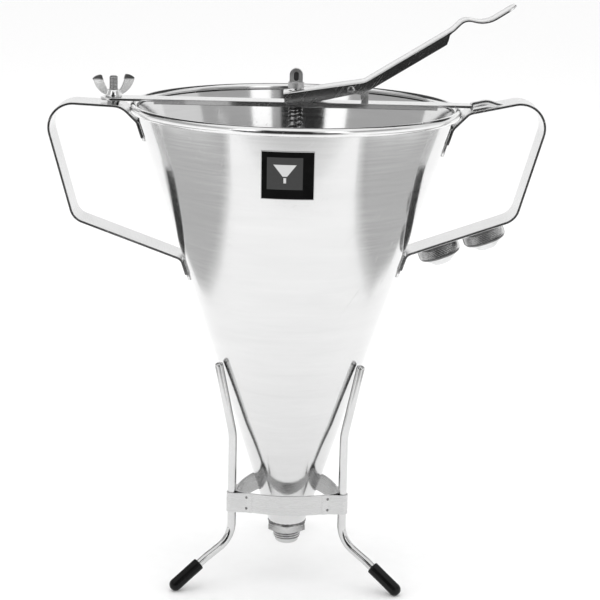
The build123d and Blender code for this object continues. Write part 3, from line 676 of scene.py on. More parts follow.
def dipped_vinyl(name):
    """Glossy black vinyl, slightly uneven from dipping."""
    finish = Finish(name, 0.0, Coat_Roughness=0.12, Specular_IOR_Level=0.15)
    skin = finish.effect(CAST_SKIN, Size=420.0)
    touch = finish.effect(HANDLING, Size=120.0)
    finish.colour(finish.tones(skin["Mottle"], 0.002, 0.006))
    finish.feed("Roughness", finish.spread(touch["Smear"], 0.16, 0.34))
    finish.feed("Coat Weight", finish.spread(skin["Mottle"], 0.06, 0.16))
    finish.bump(skin["Height"], 0.18, 0.00025)
    return finish.material


def label_finish(name, centre, half_w, half_h):
    """Printed label: black field, thin pale edge line, and a grey panel with a plain funnel sign."""
    finish = Finish(name, 0.0, Coat_Weight=0.01, Coat_Roughness=0.08, Specular_IOR_Level=0.03)
    spot = finish.parts(finish.spot)
    x = finish.math("SUBTRACT", spot["X"], centre.x)
    z = finish.math("SUBTRACT", spot["Z"], centre.z)

    def within(value, middle, half):
        """1 where a value is nearer its middle than half."""
        return finish.math("LESS_THAN", finish.math("ABSOLUTE", finish.math("SUBTRACT", value, middle)), half)

    line_w = 0.35 * MM
    field = finish.times(within(x, 0.0, half_w - line_w), within(z, 0.0, half_h - line_w))
    panel_x, panel_z = -1.5 * MM, 1.15 * MM
    panel = finish.times(within(x, panel_x, 9.55 * MM), within(z, panel_z, 9.1 * MM))
    taper = finish.math("MULTIPLY_ADD", finish.math("SUBTRACT", z, panel_z), 0.75, 2.4 * MM)
    cup = finish.times(within(x, panel_x, taper), within(z, panel_z + 1.7 * MM, 3.3 * MM))
    stem = finish.times(within(x, panel_x, 0.7 * MM), within(z, panel_z - 3.9 * MM, 1.5 * MM))
    sign = finish.times(finish.math("MAXIMUM", cup, stem), panel)
    fibre = finish.effect(CAST_SKIN, Size=900.0)
    ink = finish.mix(panel, finish.tones(fibre["Mottle"], 0.002, 0.005), grey(0.055))
    ink = finish.mix(sign, ink, grey(0.62))
    finish.colour(finish.mix(field, grey(0.42), ink))
    finish.feed("Roughness", finish.spread(fibre["Mottle"], 0.22, 0.34))
    finish.bump(fibre["Height"], 0.08, 0.00006)
    return finish.material


def floor_finish():
    """Pale matt table with a barely visible tooth."""
    finish = Finish("table_top", 0.0)
    skin = finish.effect(CAST_SKIN, Size=900.0)
    finish.colour(finish.tones(skin["Mottle"], 0.955, 0.975))
    finish.feed("Roughness", finish.spread(skin["Mottle"], 0.75, 0.9))
    return finish.material


HOPPER_STEEL = round_steel("hopper_steel", 0.74, 0.10, grain=0.06, line_bump=0.035, spread=0.45)
RIM_STEEL = polished_steel("rim_steel", 0.84, 0.12)
STRAP_STEEL = strip_steel("strap_steel", 0.76, 0.14, grain=0.06, line_bump=0.05)
BAR_STEEL = strip_steel("bar_steel", 0.72, 0.10, grain=0.05, line_bump=0.04)
LEVER_STEEL = strip_steel("lever_steel", 0.72, 0.11, grain=0.05, line_bump=0.05)
# The band and clips get painted shade on their faces towards the cone.
BAND_STEEL = round_steel("band_steel", 0.62, 0.26, lines=1500.0, inner=0.40)
WELD_STEEL = tumbled_metal("weld_steel", 0.24, 0.38, size=2400.0)
# The wires get painted shade on their faces towards the cone.
WIRE_STEEL = polished_steel("wire_steel", 0.68, 0.14, inner=0.20)
ROD_STEEL = round_steel("rod_steel", 0.78, 0.16, lines=1800.0)
SPRING_STEEL = polished_steel("spring_steel", 0.14, 0.16, size=200.0)
FITTING_STEEL = round_steel("fitting_steel", 0.60, 0.18, lines=2600.0)
# Darker copy of the turned steel: painted shade for thread roots, grooves and recesses.
SHADED_GROOVE_STEEL = round_steel("shaded_groove_steel", 0.20, 0.30, lines=2600.0)
THREAD_STEEL = round_steel("thread_steel", 0.50, 0.22, lines=3200.0)
PIN_STEEL = polished_steel("pin_steel", 0.42, 0.22, size=260.0)
HEAD_METAL = tumbled_metal("head_metal", 0.66, 0.40)
NUT_METAL = tumbled_metal("wing_nut_metal", 0.90, 0.16, bump=0.15,
                          dark_above=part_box("wing_nut")[1].z - 3.2 * MM)
KNURL_METAL = tumbled_metal("knurl_metal", 0.70, 0.20, size=2600.0)
TIP_METAL = tumbled_metal("nozzle_tip_metal", 0.80, 0.42, size=1800.0, bump=0.12)
CAP_VINYL = dipped_vinyl("cap_vinyl")


def paint(piece, material):
    """Gives a piece one material."""
    piece.data.materials.clear()
    piece.data.materials.append(material)
    return piece


def settle(piece, material, body, slot, *nodes):
    """Paints a piece, ties it to its body and hides the nodes it stands for; its record slot is not used."""
    if material is not None:
        paint(piece, material)
    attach(piece, body)
    if nodes:
        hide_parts(*nodes)
    return piece


COIL, KNURL, DIMPLES = coil_tree(), knurl_tree(), dimple_tree()


def thread(name, core_r, crest_r, pitch, length, place, chamfer):
    """Threaded cylinder: a core with its crests wound on it. Local Z runs from its root."""
    core = turned(name + "_core", [
        (0.0, 0.0), (core_r, 0.0), (core_r, length - chamfer), (core_r - chamfer, length), (0.0, length)],
        segments=64, place=place)
    # The core between the crests takes painted shade.
    paint(core, SHADED_GROOVE_STEEL)
    crest = (crest_r - core_r) * 0.9
    turns = (length - chamfer) / pitch - 0.6
    coil = grow(COIL, name + "_crest", {
        "Turns": turns, "Radius": crest_r - crest, "Height": turns * pitch, "Wire": crest,
        "Steps": int(turns * 48), "Sides": 6, "Material": THREAD_STEEL},
        place @ Matrix.Translation((0, 0, pitch * 0.5)))
    return joined(name, [core, coil])


# ---------------------------------------------------------------- hopper
def make_hopper():
    """Sheet cone with its rolled rim."""
    sheet_r = sheet / math.cos(cone_angle)
    cone = turned("hopper_cone", [
        (mouth_r, foot_z), (cone_top_r, rim_z), (cone_top_r - sheet_r, rim_z), (mouth_r - sheet_r, foot_z)],
        segments=256)
    settle(cone, HOPPER_STEEL, "funnel", "hopper_sheet", "hopper")

    steps = 34
    turns = [math.radians(172 - 340 * i / steps) for i in range(steps + 1)]
    curl = [(radius, a) for radius, way in ((bead_r, turns), (bead_r - sheet, turns[::-1])) for a in way]
    rim = turned("rolled_rim", [
        (rim_r - bead_r + radius * math.cos(a), rim_z + radius * math.sin(a)) for radius, a in curl],
        segments=256)
    settle(rim, RIM_STEEL, "funnel", "hopper_sheet")


def make_outlet():
    """Outlet fitting: nose, thread, hex and neck, with its weld to the cone's foot."""
    lo_z = fitting_lo.z
    nose_l, thread_l, hex_h, neck_h = 2.8 * MM, 5.6 * MM, 3.9 * MM, 0.9 * MM
    nose_r, thread_r, bore_r, seat_r, seat_h = 7.0 * MM, 8.3 * MM, 5.0 * MM, 9.6 * MM, 5.0 * MM
    thread_lo = lo_z + nose_l
    hex_lo = thread_lo + thread_l
    hex_hi = hex_lo + hex_h
    top = hex_hi + neck_h
    core_r = thread_r - 0.55 * MM
    body = turned("outlet_body", [
        (bore_r, lo_z), (nose_r - 0.8 * MM, lo_z), (nose_r, lo_z + 0.8 * MM), (nose_r, thread_lo),
        (core_r - 0.2 * MM, thread_lo + 0.2 * MM), (core_r - 0.2 * MM, hex_lo),
        (mouth_r - 1.0 * MM, hex_lo + 0.2 * MM), (mouth_r - 1.0 * MM, hex_hi), (mouth_r - 0.1 * MM, hex_hi),
        (mouth_r - 0.1 * MM, top), (seat_r, top), (bore_r, top - seat_h)], ease=0.15 * MM, segments=96)
    paint(body, FITTING_STEEL)
    crest, pitch = (thread_r - core_r) * 0.85, 1.35 * MM
    turns = (thread_l - 0.9 * MM) / pitch
    crests = grow(COIL, "outlet_crests", {
        "Turns": turns, "Radius": thread_r - crest, "Height": turns * pitch, "Wire": crest,
        "Steps": int(turns * 64), "Sides": 6, "Material": FITTING_STEEL},
        Matrix.Translation((0, 0, thread_lo + 0.5 * MM)))
    nut = outlet_hex(hex_lo, hex_hi)
    paint(nut, FITTING_STEEL)
    # Sleeve at the thread's root, in painted shade.
    sleeve = turned("outlet_grooves", [
        (core_r - 0.6 * MM, thread_lo), (core_r, thread_lo + 0.1 * MM), (core_r, hex_lo - 0.1 * MM),
        (core_r - 0.6 * MM, hex_lo)], segments=96)
    paint(sleeve, SHADED_GROOVE_STEEL)
    settle(joined("outlet_fitting_visual", [body, crests, nut, sleeve]), None, "funnel", "fitting_steel",
           "outlet_fitting")
    make_foot_weld()


def outlet_hex(low, high):
    """Hexagon with its corners turned off."""
    flat = fitting_hi.x
    corner_r = flat / math.cos(math.radians(30))
    segments = 72
    bm = bmesh.new()
    rings = []
    for z, trim in ((low, 0.93), (low + 0.5 * MM, 1.0), (high - 0.6 * MM, 1.0), (high, 0.92)):
        ring = []
        for i in range(segments):
            a = math.radians(30) + 2 * math.pi * i / segments
            off = (a % math.radians(60)) - math.radians(30)
            r = min(flat / math.cos(off), corner_r * trim)
            ring.append(bm.verts.new((r * math.sin(a), r * math.cos(a), z)))
        rings.append(ring)
    closed_skin(bm, rings)
    return new_piece("outlet_hex", bm, sharp=18.0)


def make_foot_weld():
    """Rippled weld bead round the cone's foot."""
    weld_r, centre_r, count, ripples = 0.55 * MM, mouth_r - 0.05 * MM, 96, 24
    bm = bmesh.new()
    rings = []
    for i in range(count):
        a = 2 * math.pi * i / count
        swell = 1.0 + 0.22 * math.sin(ripples * a)
        rings.append([bm.verts.new(((centre_r + x) * math.cos(a), (centre_r + x) * math.sin(a), foot_z + z))
                      for x, z in ring_section(weld_r * swell, 8)])
    skin_between(bm, rings + rings[:1])
    settle(new_piece("foot_weld", bm), WELD_STEEL, "funnel", "fitting_steel")


# ---------------------------------------------------------------- handles
TAB_DROP = 8.5 * MM  # the upper tabs' top edge below the rim


def handle_path(side, first, upper, lower, toe_drop, bends):
    """Strap's centre line from the upper tab, out round the grip, to the lower tab."""
    lift, lap = strap_t / 2 - 0.2 * MM, 9.0 * MM
    corners = [off_cone(rim_z - TAB_DROP - lap, lift), off_cone(rim_z - TAB_DROP, lift),
               (rim_r + 3.5 * MM, rim_z + first), (rim_r + upper[0], rim_z + upper[1]),
               (rim_r + lower[0], rim_z + lower[1]),
               off_cone(rim_z - toe_drop, lift), off_cone(rim_z - toe_drop - lap, lift)]
    return [Vector((side * p.x, p.y)) for p in rounded(corners, list(bends), step=5.0)]


def make_tab(name, side, top_z, height):
    """Tab that lies on the cone: a patch of the cone with eased corners and a little thickness."""
    def spot(down, across, lift):
        z = top_z - height * down
        squeeze = 1.0 - 0.10 * max(0.0, (down - 0.8) / 0.2) ** 2
        y = strap_half_w * squeeze * (2 * across - 1)
        r = off_cone(z, lift)[0]
        return (side * math.sqrt(r * r - y * y), y, z)

    return ease_edges(new_piece(name, cone_plate(10, 14, strap_t, spot), sharp=40.0), 0.35 * MM, 2, 50.0)


def make_handle(name, side, path, toe_drop, tabs):
    """Strap handle with its two tabs and their spot welds."""
    section = box_section(strap_half_w, strap_t / 2, 0.25 * MM)
    bm = bmesh.new()
    sweep(bm, path, lambda i: section, Vector((1, 0, 0)))
    parts = [flattened(new_piece(name + "_strap", bm, sharp=50.0))]
    welds = []
    for top_z, height in ((rim_z - TAB_DROP, tabs[0]), (rim_z - toe_drop, tabs[1])):
        parts.append(make_tab(name + "_tab", side, top_z, height))
        z = top_z - 6.5 * MM
        for y in (-6.0 * MM, 6.0 * MM):
            r = off_cone(z, strap_t)[0]
            x = math.sqrt(r * r - y * y)
            out = Vector((x, y, 0)).normalized() * math.cos(cone_angle) - UP * math.sin(cone_angle)
            welds.append((Vector((side * x, y, z)), (side * out.x, out.y, out.z)))
    for part in parts:
        paint(part, STRAP_STEEL)
    marks = grow(DIMPLES, name + "_spot_welds", {
        "Radius": 1.7 * MM, "Rise": 0.16 * MM, "Material": WELD_STEEL}, points=welds)
    return joined(name, parts + [marks])


def top_line(corner, first, x):
    """Height of the upper strap's centre line at a distance from the axis."""
    x1, z1 = rim_r + 3.5 * MM, rim_z + first
    x2, z2 = rim_r + corner[0], rim_z + corner[1]
    return z1 + (z2 - z1) * (x - x1) / (x2 - x1)


LEFT_CORNER, LEFT_LOWER = (49.3 * MM, 2.1 * MM), (31.2 * MM, -64.9 * MM)
RIGHT_CORNER, RIGHT_LOWER = (52.2 * MM, 11.1 * MM), (32.4 * MM, -60.0 * MM)
LEFT_TOE, RIGHT_TOE = 87.6 * MM, 82.2 * MM


def make_handles():
    """Both handles and the pocket pressed into the right one."""
    for name, side, first, upper, lower, toe_drop, bends, tabs in (
            ("left", -1, 0.2, LEFT_CORNER, LEFT_LOWER, LEFT_TOE, (12.0, 14.0, 10.0), (11.0, 12.5)),
            ("right", 1, 0.5, RIGHT_CORNER, RIGHT_LOWER, RIGHT_TOE, (6.0, 14.0, 11.0), (16.0, 13.5))):
        path = handle_path(side, first * MM, upper, lower, toe_drop, [r * MM for r in (5.0, *bends, 5.0)])
        handle = make_handle(name + "_handle", side, path, toe_drop, [height * MM for height in tabs])
        settle(handle, None, "funnel", "strap_steel", "handle_" + name)
    make_pocket()


def make_pocket():
    """Pressed pocket that takes the bar's tongue."""
    mouth_x, length, half_w, skin = rim_r + 5.0 * MM, 20.0 * MM, 8.4 * MM, 0.9 * MM
    rows, columns = 18, 20
    crown = bar_hi.z + 1.3 * MM - (top_line(RIGHT_CORNER, 0.5 * MM, mouth_x) + strap_t / 2)
    bm = bmesh.new()
    grid = []
    for i in range(rows + 1):
        t = i / rows
        x = mouth_x + length * t
        base = top_line(RIGHT_CORNER, 0.5 * MM, x) + strap_t / 2 - 0.1 * MM
        fall = 1.0 if t < 0.35 else 0.5 + 0.5 * math.cos(math.pi * (t - 0.35) / 0.65)
        narrow = half_w * (1.0 - 0.35 * max(0.0, t - 0.35) ** 1.5)
        row = []
        for k in range(columns + 1):
            v = 2 * k / columns - 1
            hump = (1.0 - abs(v) ** 2.4) ** 0.8
            row.append(bm.verts.new((x, narrow * v, base + crown * fall * hump)))
        grid.append(row)
    skin_grid(bm, grid, flip=True)
    pocket = new_piece("tongue_pocket", bm, sharp=60.0, outward=False)
    wall = pocket.modifiers.new("wall", "SOLIDIFY")
    wall.thickness = skin
    wall.offset = -1.0
    evaluated(pocket)
    pocket.data.shade_smooth()
    settle(pocket, STRAP_STEEL, "funnel", "strap_steel")


# ---------------------------------------------------------------- bar, stud, wing nut
def make_bridge():
    """Bar across the rim with its lever bracket and clamping stud."""
    bar = softened("rim_bar", "bridge_bar", 0.28 * MM, segments=3)
    settle(bar, BAR_STEEL, "funnel", "bar_steel", "bridge_bar")
    bracket = softened("lever_bracket", "pivot_bracket", 0.2 * MM)
    settle(bracket, BAR_STEEL, "funnel", "bar_steel", "pivot_bracket")

    stud_lo, stud_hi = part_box("bridge_stud")
    centre = (stud_lo + stud_hi) / 2
    collar_r = (stud_hi.x - stud_lo.x) / 2
    collar = turned("stud_collar", [
        (0.0, stud_lo.z), (collar_r, stud_lo.z), (collar_r, bar_lo.z + bar_t - 0.1 * MM),
        (0.0, bar_lo.z + bar_t - 0.1 * MM)], ease=0.25 * MM, segments=64,
        place=Matrix.Translation((centre.x, 0, 0)))
    paint(collar, THREAD_STEEL)
    root = bar_hi.z - 2.0 * MM
    shank = thread("stud_shank", 2.05 * MM, 2.5 * MM, 0.8 * MM, stud_hi.z - root,
                   Matrix.Translation((centre.x, 0, root)), 0.5 * MM)
    stud = joined("clamping_stud", [collar, shank])
    settle(stud, None, "funnel", "thread_steel", "bridge_stud")


def make_wing_nut():
    """Pressed wing nut: a tapered hub and two wings that fan out to broad tips."""
    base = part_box("wing_nut")[0].z
    foot = Vector((joints["wing_nut_turn"]["pos_m"][0], 0, base))
    hub = turned("nut_hub", [
        (2.56 * MM, base), (4.9 * MM, base), (5.0 * MM, base + 1.2 * MM), (3.7 * MM, base + 4.2 * MM),
        (2.56 * MM, base + 4.2 * MM)], ease=0.35 * MM, segments=64, place=Matrix.Translation((foot.x, 0, 0)))
    parts = [hub]
    turn = math.radians(22.0)
    outline = arc_through((5.4, 1.4), (10.3, 5.8), (12.2, 10.2))
    outline += arc_through((12.0, 10.7), (10.1, 12.0), (7.4, 12.6))
    outline += arc_through((6.9, 12.2), (5.5, 8.0), (3.4, 3.7))
    outline += [(2.8, 3.7), (2.8, 1.4)]
    thick = 1.1 * MM
    for side in (1, -1):
        out = Vector((math.cos(turn), math.sin(turn), 0)) * side
        across = out.cross(UP)
        bm = bmesh.new()
        closed_skin(bm, [[bm.verts.new(foot + out * x * MM + UP * z * MM + across * half) for x, z in outline]
                         for half in (thick, -thick)])
        wing = ease_edges(new_piece("wing", bm, sharp=50.0), 0.5 * MM, 3, 50.0)
        wing.data.shade_smooth()
        parts.append(flattened(wing))
    settle(joined("clamping_wing_nut", parts), NUT_METAL, "wing_nut", "wing_nut_metal", "wing_nut")


# ---------------------------------------------------------------- lever and pivot
def make_lever():
    """Lever of folded sheet: a channel over the bar that runs out into a curled thumb strip."""
    half_w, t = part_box("lever_arm")[1].y, 1.2 * MM
    corners = [(-7.0, 8.8), (39.0, 16.3), (87.7, 46.6), (94.0, 53.0), (106.5, 50.6), (122.5, 61.0)]
    corners = [(x * MM, rim_z + z * MM) for x, z in corners]
    coarse = rounded(corners, [8.0 * MM, 8.0 * MM, 7.0 * MM, 18.0 * MM], step=5.0)
    path = [coarse[0]]
    for here in coarse[1:]:
        steps = max(1, int((here - path[-1]).length / (2.0 * MM)))
        start = path[-1]
        path += [start.lerp(here, k / steps) for k in range(1, steps + 1)]
    reach = [0.0]
    for before, here in zip(path, path[1:]):
        reach.append(reach[-1] + (here - before).length)
    bend_at = (Vector(corners[1]) - Vector(corners[0])).length
    flange_end = bend_at + (Vector(corners[2]) - Vector(corners[1])).length - 2.0 * MM

    def section(i):
        """Folded channel: the flanges' depth falls to nothing at the thumb strip."""
        s, left = reach[i], reach[-1] - reach[i]
        depth = 8.0 * MM - 3.1 * MM * min(s / bend_at, 1.0)
        depth *= min(1.0, max(0.0, (flange_end - s) / (4.5 * MM)))
        depth = max(depth, t / 2)
        trim = 1.0
        if left < 5.0 * MM:
            trim = 0.55 + 0.45 * math.sqrt(max(0.0, 1.0 - (1.0 - left / (5.0 * MM)) ** 2))
        w = half_w * trim
        inner, low, under = w - t, -depth, -t / 2
        folded = depth > t
        fold = min(0.75 * MM, depth + t / 2 - 0.02 * MM) if folded else t / 2 - 0.05 * MM
        web_cut, web_drop = (0.3 * MM, 0.3 * MM) if folded else (0.1 * MM, 0.0)
        toe_cut, toe_rise = (0.25 * MM, 0.2 * MM) if folded else (0.1 * MM, 0.0)
        foot_cut, foot_rise = (0.25 * MM, 0.2 * MM) if folded else (0.1 * MM, 0.1 * MM)
        half = [(inner - web_cut, under), (inner, under - web_drop),
                (inner, low + toe_rise), (inner + toe_cut, low), (w - foot_cut, low), (w, low + foot_rise)]
        for k in range(5):
            a = math.radians(90.0 * k / 4)
            half.append((w - fold + fold * math.cos(a), t / 2 - fold + fold * math.sin(a)))
        return half + [(-a, b) for a, b in half[::-1]]

    bm = bmesh.new()
    sweep(bm, path, section, Vector((1, 0, 0)))
    lever = new_piece("thumb_lever", bm, sharp=35.0)

    cutters = [slot_cutter(), turned("pin_cutter", [
        (0.0, -12 * MM), (1.3 * MM, -12 * MM), (1.3 * MM, 12 * MM), (0.0, 12 * MM)],
        segments=32, place=axis_matrix(pivot, SIDE))]
    for cutter in cutters:
        cut = lever.modifiers.new("cut", "BOOLEAN")
        cut.operation = "DIFFERENCE"
        cut.solver = "EXACT"
        cut.object = cutter
    evaluated(lever)
    for cutter in cutters:
        bpy.data.objects.remove(cutter)
    shade_by_angle(lever, 35.0)
    settle(lever, LEVER_STEEL, "lever", "lever_steel", "lever_arm")
    make_rivet()


def slot_cutter():
    """Round-ended block that cuts the rod's slot in the lever's web."""
    slot_r, slot_half, slot_x = 2.95 * MM, 0.95 * MM, -0.4 * MM
    outline = []
    for k in range(32):
        a = math.pi * (k / 16 - 0.5)
        shift = slot_half if k <= 16 else -slot_half
        outline.append((slot_r * math.cos(a) + shift + slot_x, slot_r * math.sin(a)))
    bm = bmesh.new()
    closed_skin(bm, [[bm.verts.new((x, y, z)) for x, y in outline]
                     for z in (rim_z + 6.5 * MM, rim_z + 16.0 * MM)])
    return new_piece("slot_cutter", bm)


def make_rivet():
    """Domed rivet that the lever turns on."""
    pin_lo, pin_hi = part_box("pivot_pin")
    head_r, head_h, shaft_r = (pin_hi.x - pin_lo.x) / 2, 0.8 * MM, 1.25 * MM
    half = pin_hi.y
    profile = [(0.0, -half), (head_r * 0.55, -half + 0.06 * MM), (head_r * 0.9, -half + 0.4 * MM),
               (head_r, -half + head_h), (shaft_r, -half + head_h), (shaft_r, half - head_h),
               (head_r, half - head_h), (head_r * 0.9, half - 0.4 * MM), (head_r * 0.55, half - 0.06 * MM),
               (0.0, half)]
    pin = turned("lever_rivet", profile, segments=40, place=axis_matrix(pivot, SIDE))
    settle(pin, PIN_STEEL, "funnel", "pin_steel", "pivot_pin")


# ---------------------------------------------------------------- valve
def make_valve():
    """Rod with its eyed head, spring keeper, outlet plug and return spring."""
    rod_lo, rod_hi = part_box("valve_rod")
    rod_r = rod_hi.x
    rod = turned("valve_rod_visual", [(0.0, rod_lo.z), (rod_r, rod_lo.z), (rod_r, rod_hi.z), (0.0, rod_hi.z)],
                 ease=0.3 * MM, segments=48)
    settle(rod, ROD_STEEL, "valve", "rod_steel", "valve_rod")
    head = softened("rod_head_visual", "rod_head", 0.55 * MM, segments=3)
    settle(head, HEAD_METAL, "valve", "head_metal", "rod_head")
    eye_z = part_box("rod_head")[1].z - 4.6 * MM
    eye = arc_through((1.4, 1.2), (0.0, 2.55), (-1.4, 1.2))
    eye += arc_through((-1.4, -1.2), (0.0, -2.55), (1.4, -1.2))
    # Dark plates on both faces of the eye's web: painted shade in the eye's recess.
    bm = bmesh.new()
    for side in (1, -1):
        closed_skin(bm, [[bm.verts.new((x * MM, side * depth, eye_z + z * MM)) for x, z in eye]
                         for depth in (0.45 * MM, 0.62 * MM)])
    settle(new_piece("head_eye_shade", bm), SHADED_GROOVE_STEEL, "valve", "head_metal")
    keeper = softened("spring_collar", "spring_keeper", 0.2 * MM)
    settle(keeper, ROD_STEEL, "valve", "rod_steel", "spring_keeper")
    plug = softened("outlet_plug", "valve_plug", 0.3 * MM, segments=3)
    settle(plug, ROD_STEEL, "valve", "rod_steel", "valve_plug")

    lo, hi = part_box("return_spring")
    wire = 0.6 * MM
    height = hi.z - lo.z - 2 * wire
    spring = grow(COIL, "return_spring_visual", {
        "Turns": 16.5, "Radius": hi.x - wire, "Height": height, "Wire": wire, "Closing": 0.55,
        "Steps": 800, "Sides": 10, "Material": SPRING_STEEL}, Matrix.Translation((0, 0, lo.z + wire)))
    lift = joints["valve_lift"]
    settle(spring, None, lift["parent"], "spring_steel", "return_spring")
    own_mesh(spring)


# ---------------------------------------------------------------- spare nozzles
def make_nozzles():
    """Two spare nozzles on the threaded studs under the right handle."""
    ring_r, bore_r, ring_h, tip_h, wall = 12.35 * MM, 8.6 * MM, 7.5 * MM, 4.5 * MM, 1.2 * MM
    seat_gap = 0.3 * MM
    for size, stud, hole_r in (("small", "spare_stud_inner", 2.0 * MM),
                               ("large", "spare_stud_outer", 4.0 * MM)):
        name = "nozzle_" + size
        down = Vector(joints[size + "_nozzle_off"]["axis"])
        lo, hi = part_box(stud)
        place = axis_matrix((lo + hi) / 2 - down * 3.2 * MM, down)
        top = seat_gap + ring_h
        shell = turned(name + "_shell", [
            (bore_r, seat_gap), (ring_r - 0.7 * MM, seat_gap), (ring_r - 0.3 * MM, seat_gap + 0.5 * MM),
            (ring_r - 0.9 * MM, seat_gap + 0.9 * MM), (ring_r - 0.9 * MM, top - 1.4 * MM),
            (ring_r - 0.3 * MM, top - 1.0 * MM), (ring_r - 1.0 * MM, top), (10.0 * MM, top),
            (9.4 * MM, top - 0.6 * MM), (bore_r, top - 0.9 * MM)], ease=0.12 * MM, segments=96, place=place)
        # The shell round the knurl takes painted shade.
        paint(shell, SHADED_GROOVE_STEEL)
        knurl = grow(KNURL, name + "_knurl", {
            "Radius": ring_r, "Depth": 2.6 * MM, "Height": ring_h - 2.2 * MM, "Count": 48, "Slant": 3,
            "Material": KNURL_METAL}, place @ Matrix.Translation((0, 0, seat_gap + 0.8 * MM)))
        tip = turned(name + "_tip", [
            (9.9 * MM, top - 0.5 * MM), (9.9 * MM, top + 0.4 * MM), (5.5 * MM, top + tip_h - 0.4 * MM),
            (5.0 * MM, top + tip_h), (hole_r, top + tip_h), (hole_r, top + tip_h - wall),
            (bore_r - 0.2 * MM, top - 0.5 * MM)], ease=0.3 * MM, segments=96, place=place)
        paint(tip, TIP_METAL)
        nozzle = joined(name + "_visual", [shell, knurl, tip])
        settle(nozzle, None, "spare_" + name, "nozzle_metal", name)
        spare = thread(stud + "_visual", 7.75 * MM, 8.3 * MM, 1.35 * MM, 6.4 * MM, place, 0.6 * MM)
        settle(spare, None, "funnel", "thread_steel", stud)


# ---------------------------------------------------------------- label
def make_label():
    """Thin label plate, bent to the cone's front."""
    lo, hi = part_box("label_plate")

    def spot(down, across, lift):
        z = hi.z + (lo.z - hi.z) * down
        x = lo.x + (hi.x - lo.x) * across
        r = off_cone(z, lift)[0]
        return (x, -math.sqrt(r * r - x * x), z)

    label = new_piece("front_label", cone_plate(12, 16, 0.26 * MM, spot), sharp=50.0)
    printed = label_finish("label_print", (lo + hi) / 2, (hi.x - lo.x) / 2, (hi.z - lo.z) / 2)
    settle(label, printed, "funnel", "label", "label_plate")


# ---------------------------------------------------------------- stand
def make_stand():
    """Three wire legs with vinyl caps and clips, and the band round the cone."""
    wire_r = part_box("leg_rear")[1].x
    knee_z, ankle_z = 92.0 * MM, 27.0 * MM
    leg_r = cone_r(knee_z) + 7.4 * MM
    shin = (17.0 * MM, 9.8 * MM)
    cap_r, cap_l, foot_out = 3.75 * MM, 18.5 * MM, 19.7 * MM
    instep = (leg_r + shin[0], ankle_z - shin[1])
    tip = Vector((instep[0] + foot_out, cap_r))
    toe = (tip - Vector(instep)).normalized()
    corners = [off_cone(136.5 * MM, wire_r + 0.3 * MM), (leg_r, knee_z), (leg_r, ankle_z), instep,
               tip - toe * 1.0 * MM]
    path = rounded(corners, [30.0 * MM, 18.0 * MM, 30.0 * MM], step=4.0)
    start_dir = (path[1] - path[0]).normalized()
    ends = [(0.0, 0.35), (0.12, 0.66), (0.42, 0.92), (1.0, 1.0)]
    rounded_end = [path[0] + start_dir * wire_r * 0.6 * along for along, _ in ends]
    wire_path = rounded_end + path[1:]

    def wire(i):
        scale = ends[i][1] if i < len(ends) else 1.0
        return ring_section(wire_r * scale, 20)

    cap_start = tip - toe * cap_l
    rows = [(0.0, 0.90), (0.4 * MM, 1.0), (1.2 * MM, 1.0), (2.2 * MM, 1.0), (cap_l * 0.5, 0.985),
            (cap_l, 1.0)]
    cap_path = [cap_start + toe * along for along, _ in rows]
    swell = [s for _, s in rows]
    for k in range(1, 9):
        a = math.radians(90.0 * k / 8)
        cap_path.append(tip + toe * cap_r * math.sin(a))
        swell.append(max(math.cos(a), 0.02))

    welds = []
    for side, angle in (("left", -150.0), ("right", -30.0), ("rear", 90.0)):
        a = math.radians(angle)
        out = Vector((math.cos(a), math.sin(a), 0))
        bm = bmesh.new()
        sweep(bm, wire_path, wire, out)
        leg = new_piece("wire_leg_" + side, bm, sharp=60.0)
        settle(leg, WIRE_STEEL, "stand", "wire_steel", "leg_" + side)
        bm = bmesh.new()
        sweep(bm, cap_path, lambda i: ring_section(cap_r * swell[i], 28), out)
        cap = new_piece("vinyl_cap_" + side, bm, sharp=70.0)
        settle(cap, CAP_VINYL, "stand", "cap_vinyl", "foot_cap_" + side)
        clip = softened("wire_clip_" + side, "leg_clip_" + side, 0.12 * MM)
        settle(clip, BAND_STEEL, "stand", "band_steel", "leg_clip_" + side)
        clip_lo, clip_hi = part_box("leg_clip_" + side)
        across = out.cross(UP)
        for hand in (1, -1):
            lean = math.radians(32.0)
            face = out * math.cos(lean) + across * hand * math.sin(lean)
            along = across * hand * math.cos(lean) - out * math.sin(lean)
            at = out * (leg_r - wire_r + 0.82 * MM) + along * 8.3 * MM
            for z in (clip_lo.z + 2.6 * MM, clip_hi.z - 2.6 * MM):
                welds.append((at + face * 0.32 * MM + UP * z, tuple(face)))
    band = softened("leg_band", "stand_band", 0.18 * MM)
    settle(band, BAND_STEEL, "stand", "band_steel", "stand_band")
    marks = grow(DIMPLES, "clip_spot_welds", {"Radius": 0.8 * MM, "Rise": 0.22 * MM, "Material": WELD_STEEL},
                 points=welds)
    settle(marks, None, "stand", "band_steel")


# ---------------------------------------------------------------- setting
def reflection_card(name, bm, tone):
    """Glowing card that paints the metal's reflections: out of sight, except in what the metal mirrors."""
    material = bpy.data.materials.new(name + "_tone")
    material.use_nodes = True
    write = Tree(material.node_tree)
    write.tree.nodes.clear()
    light = write.node("ShaderNodeEmission", {"Color": (1.0, 1.0, 1.0, 1.0), "Strength": tone})
    write.node("ShaderNodeOutputMaterial", {"Surface": light[0]})
    card = paint(new_piece(name, bm, outward=False), material)
    card.visible_camera = False
    card.visible_diffuse = False
    card.visible_shadow = False
    card.visible_transmission = False


def floor_card(name, outline, tone, lift=3.0 * MM):
    """Glowing card on the table, seen only in the metal's reflections, by its outline in plan."""
    bm = bmesh.new()
    bm.faces.new([bm.verts.new((x, y, lift)) for x, y in outline])
    reflection_card(name, bm, tone)


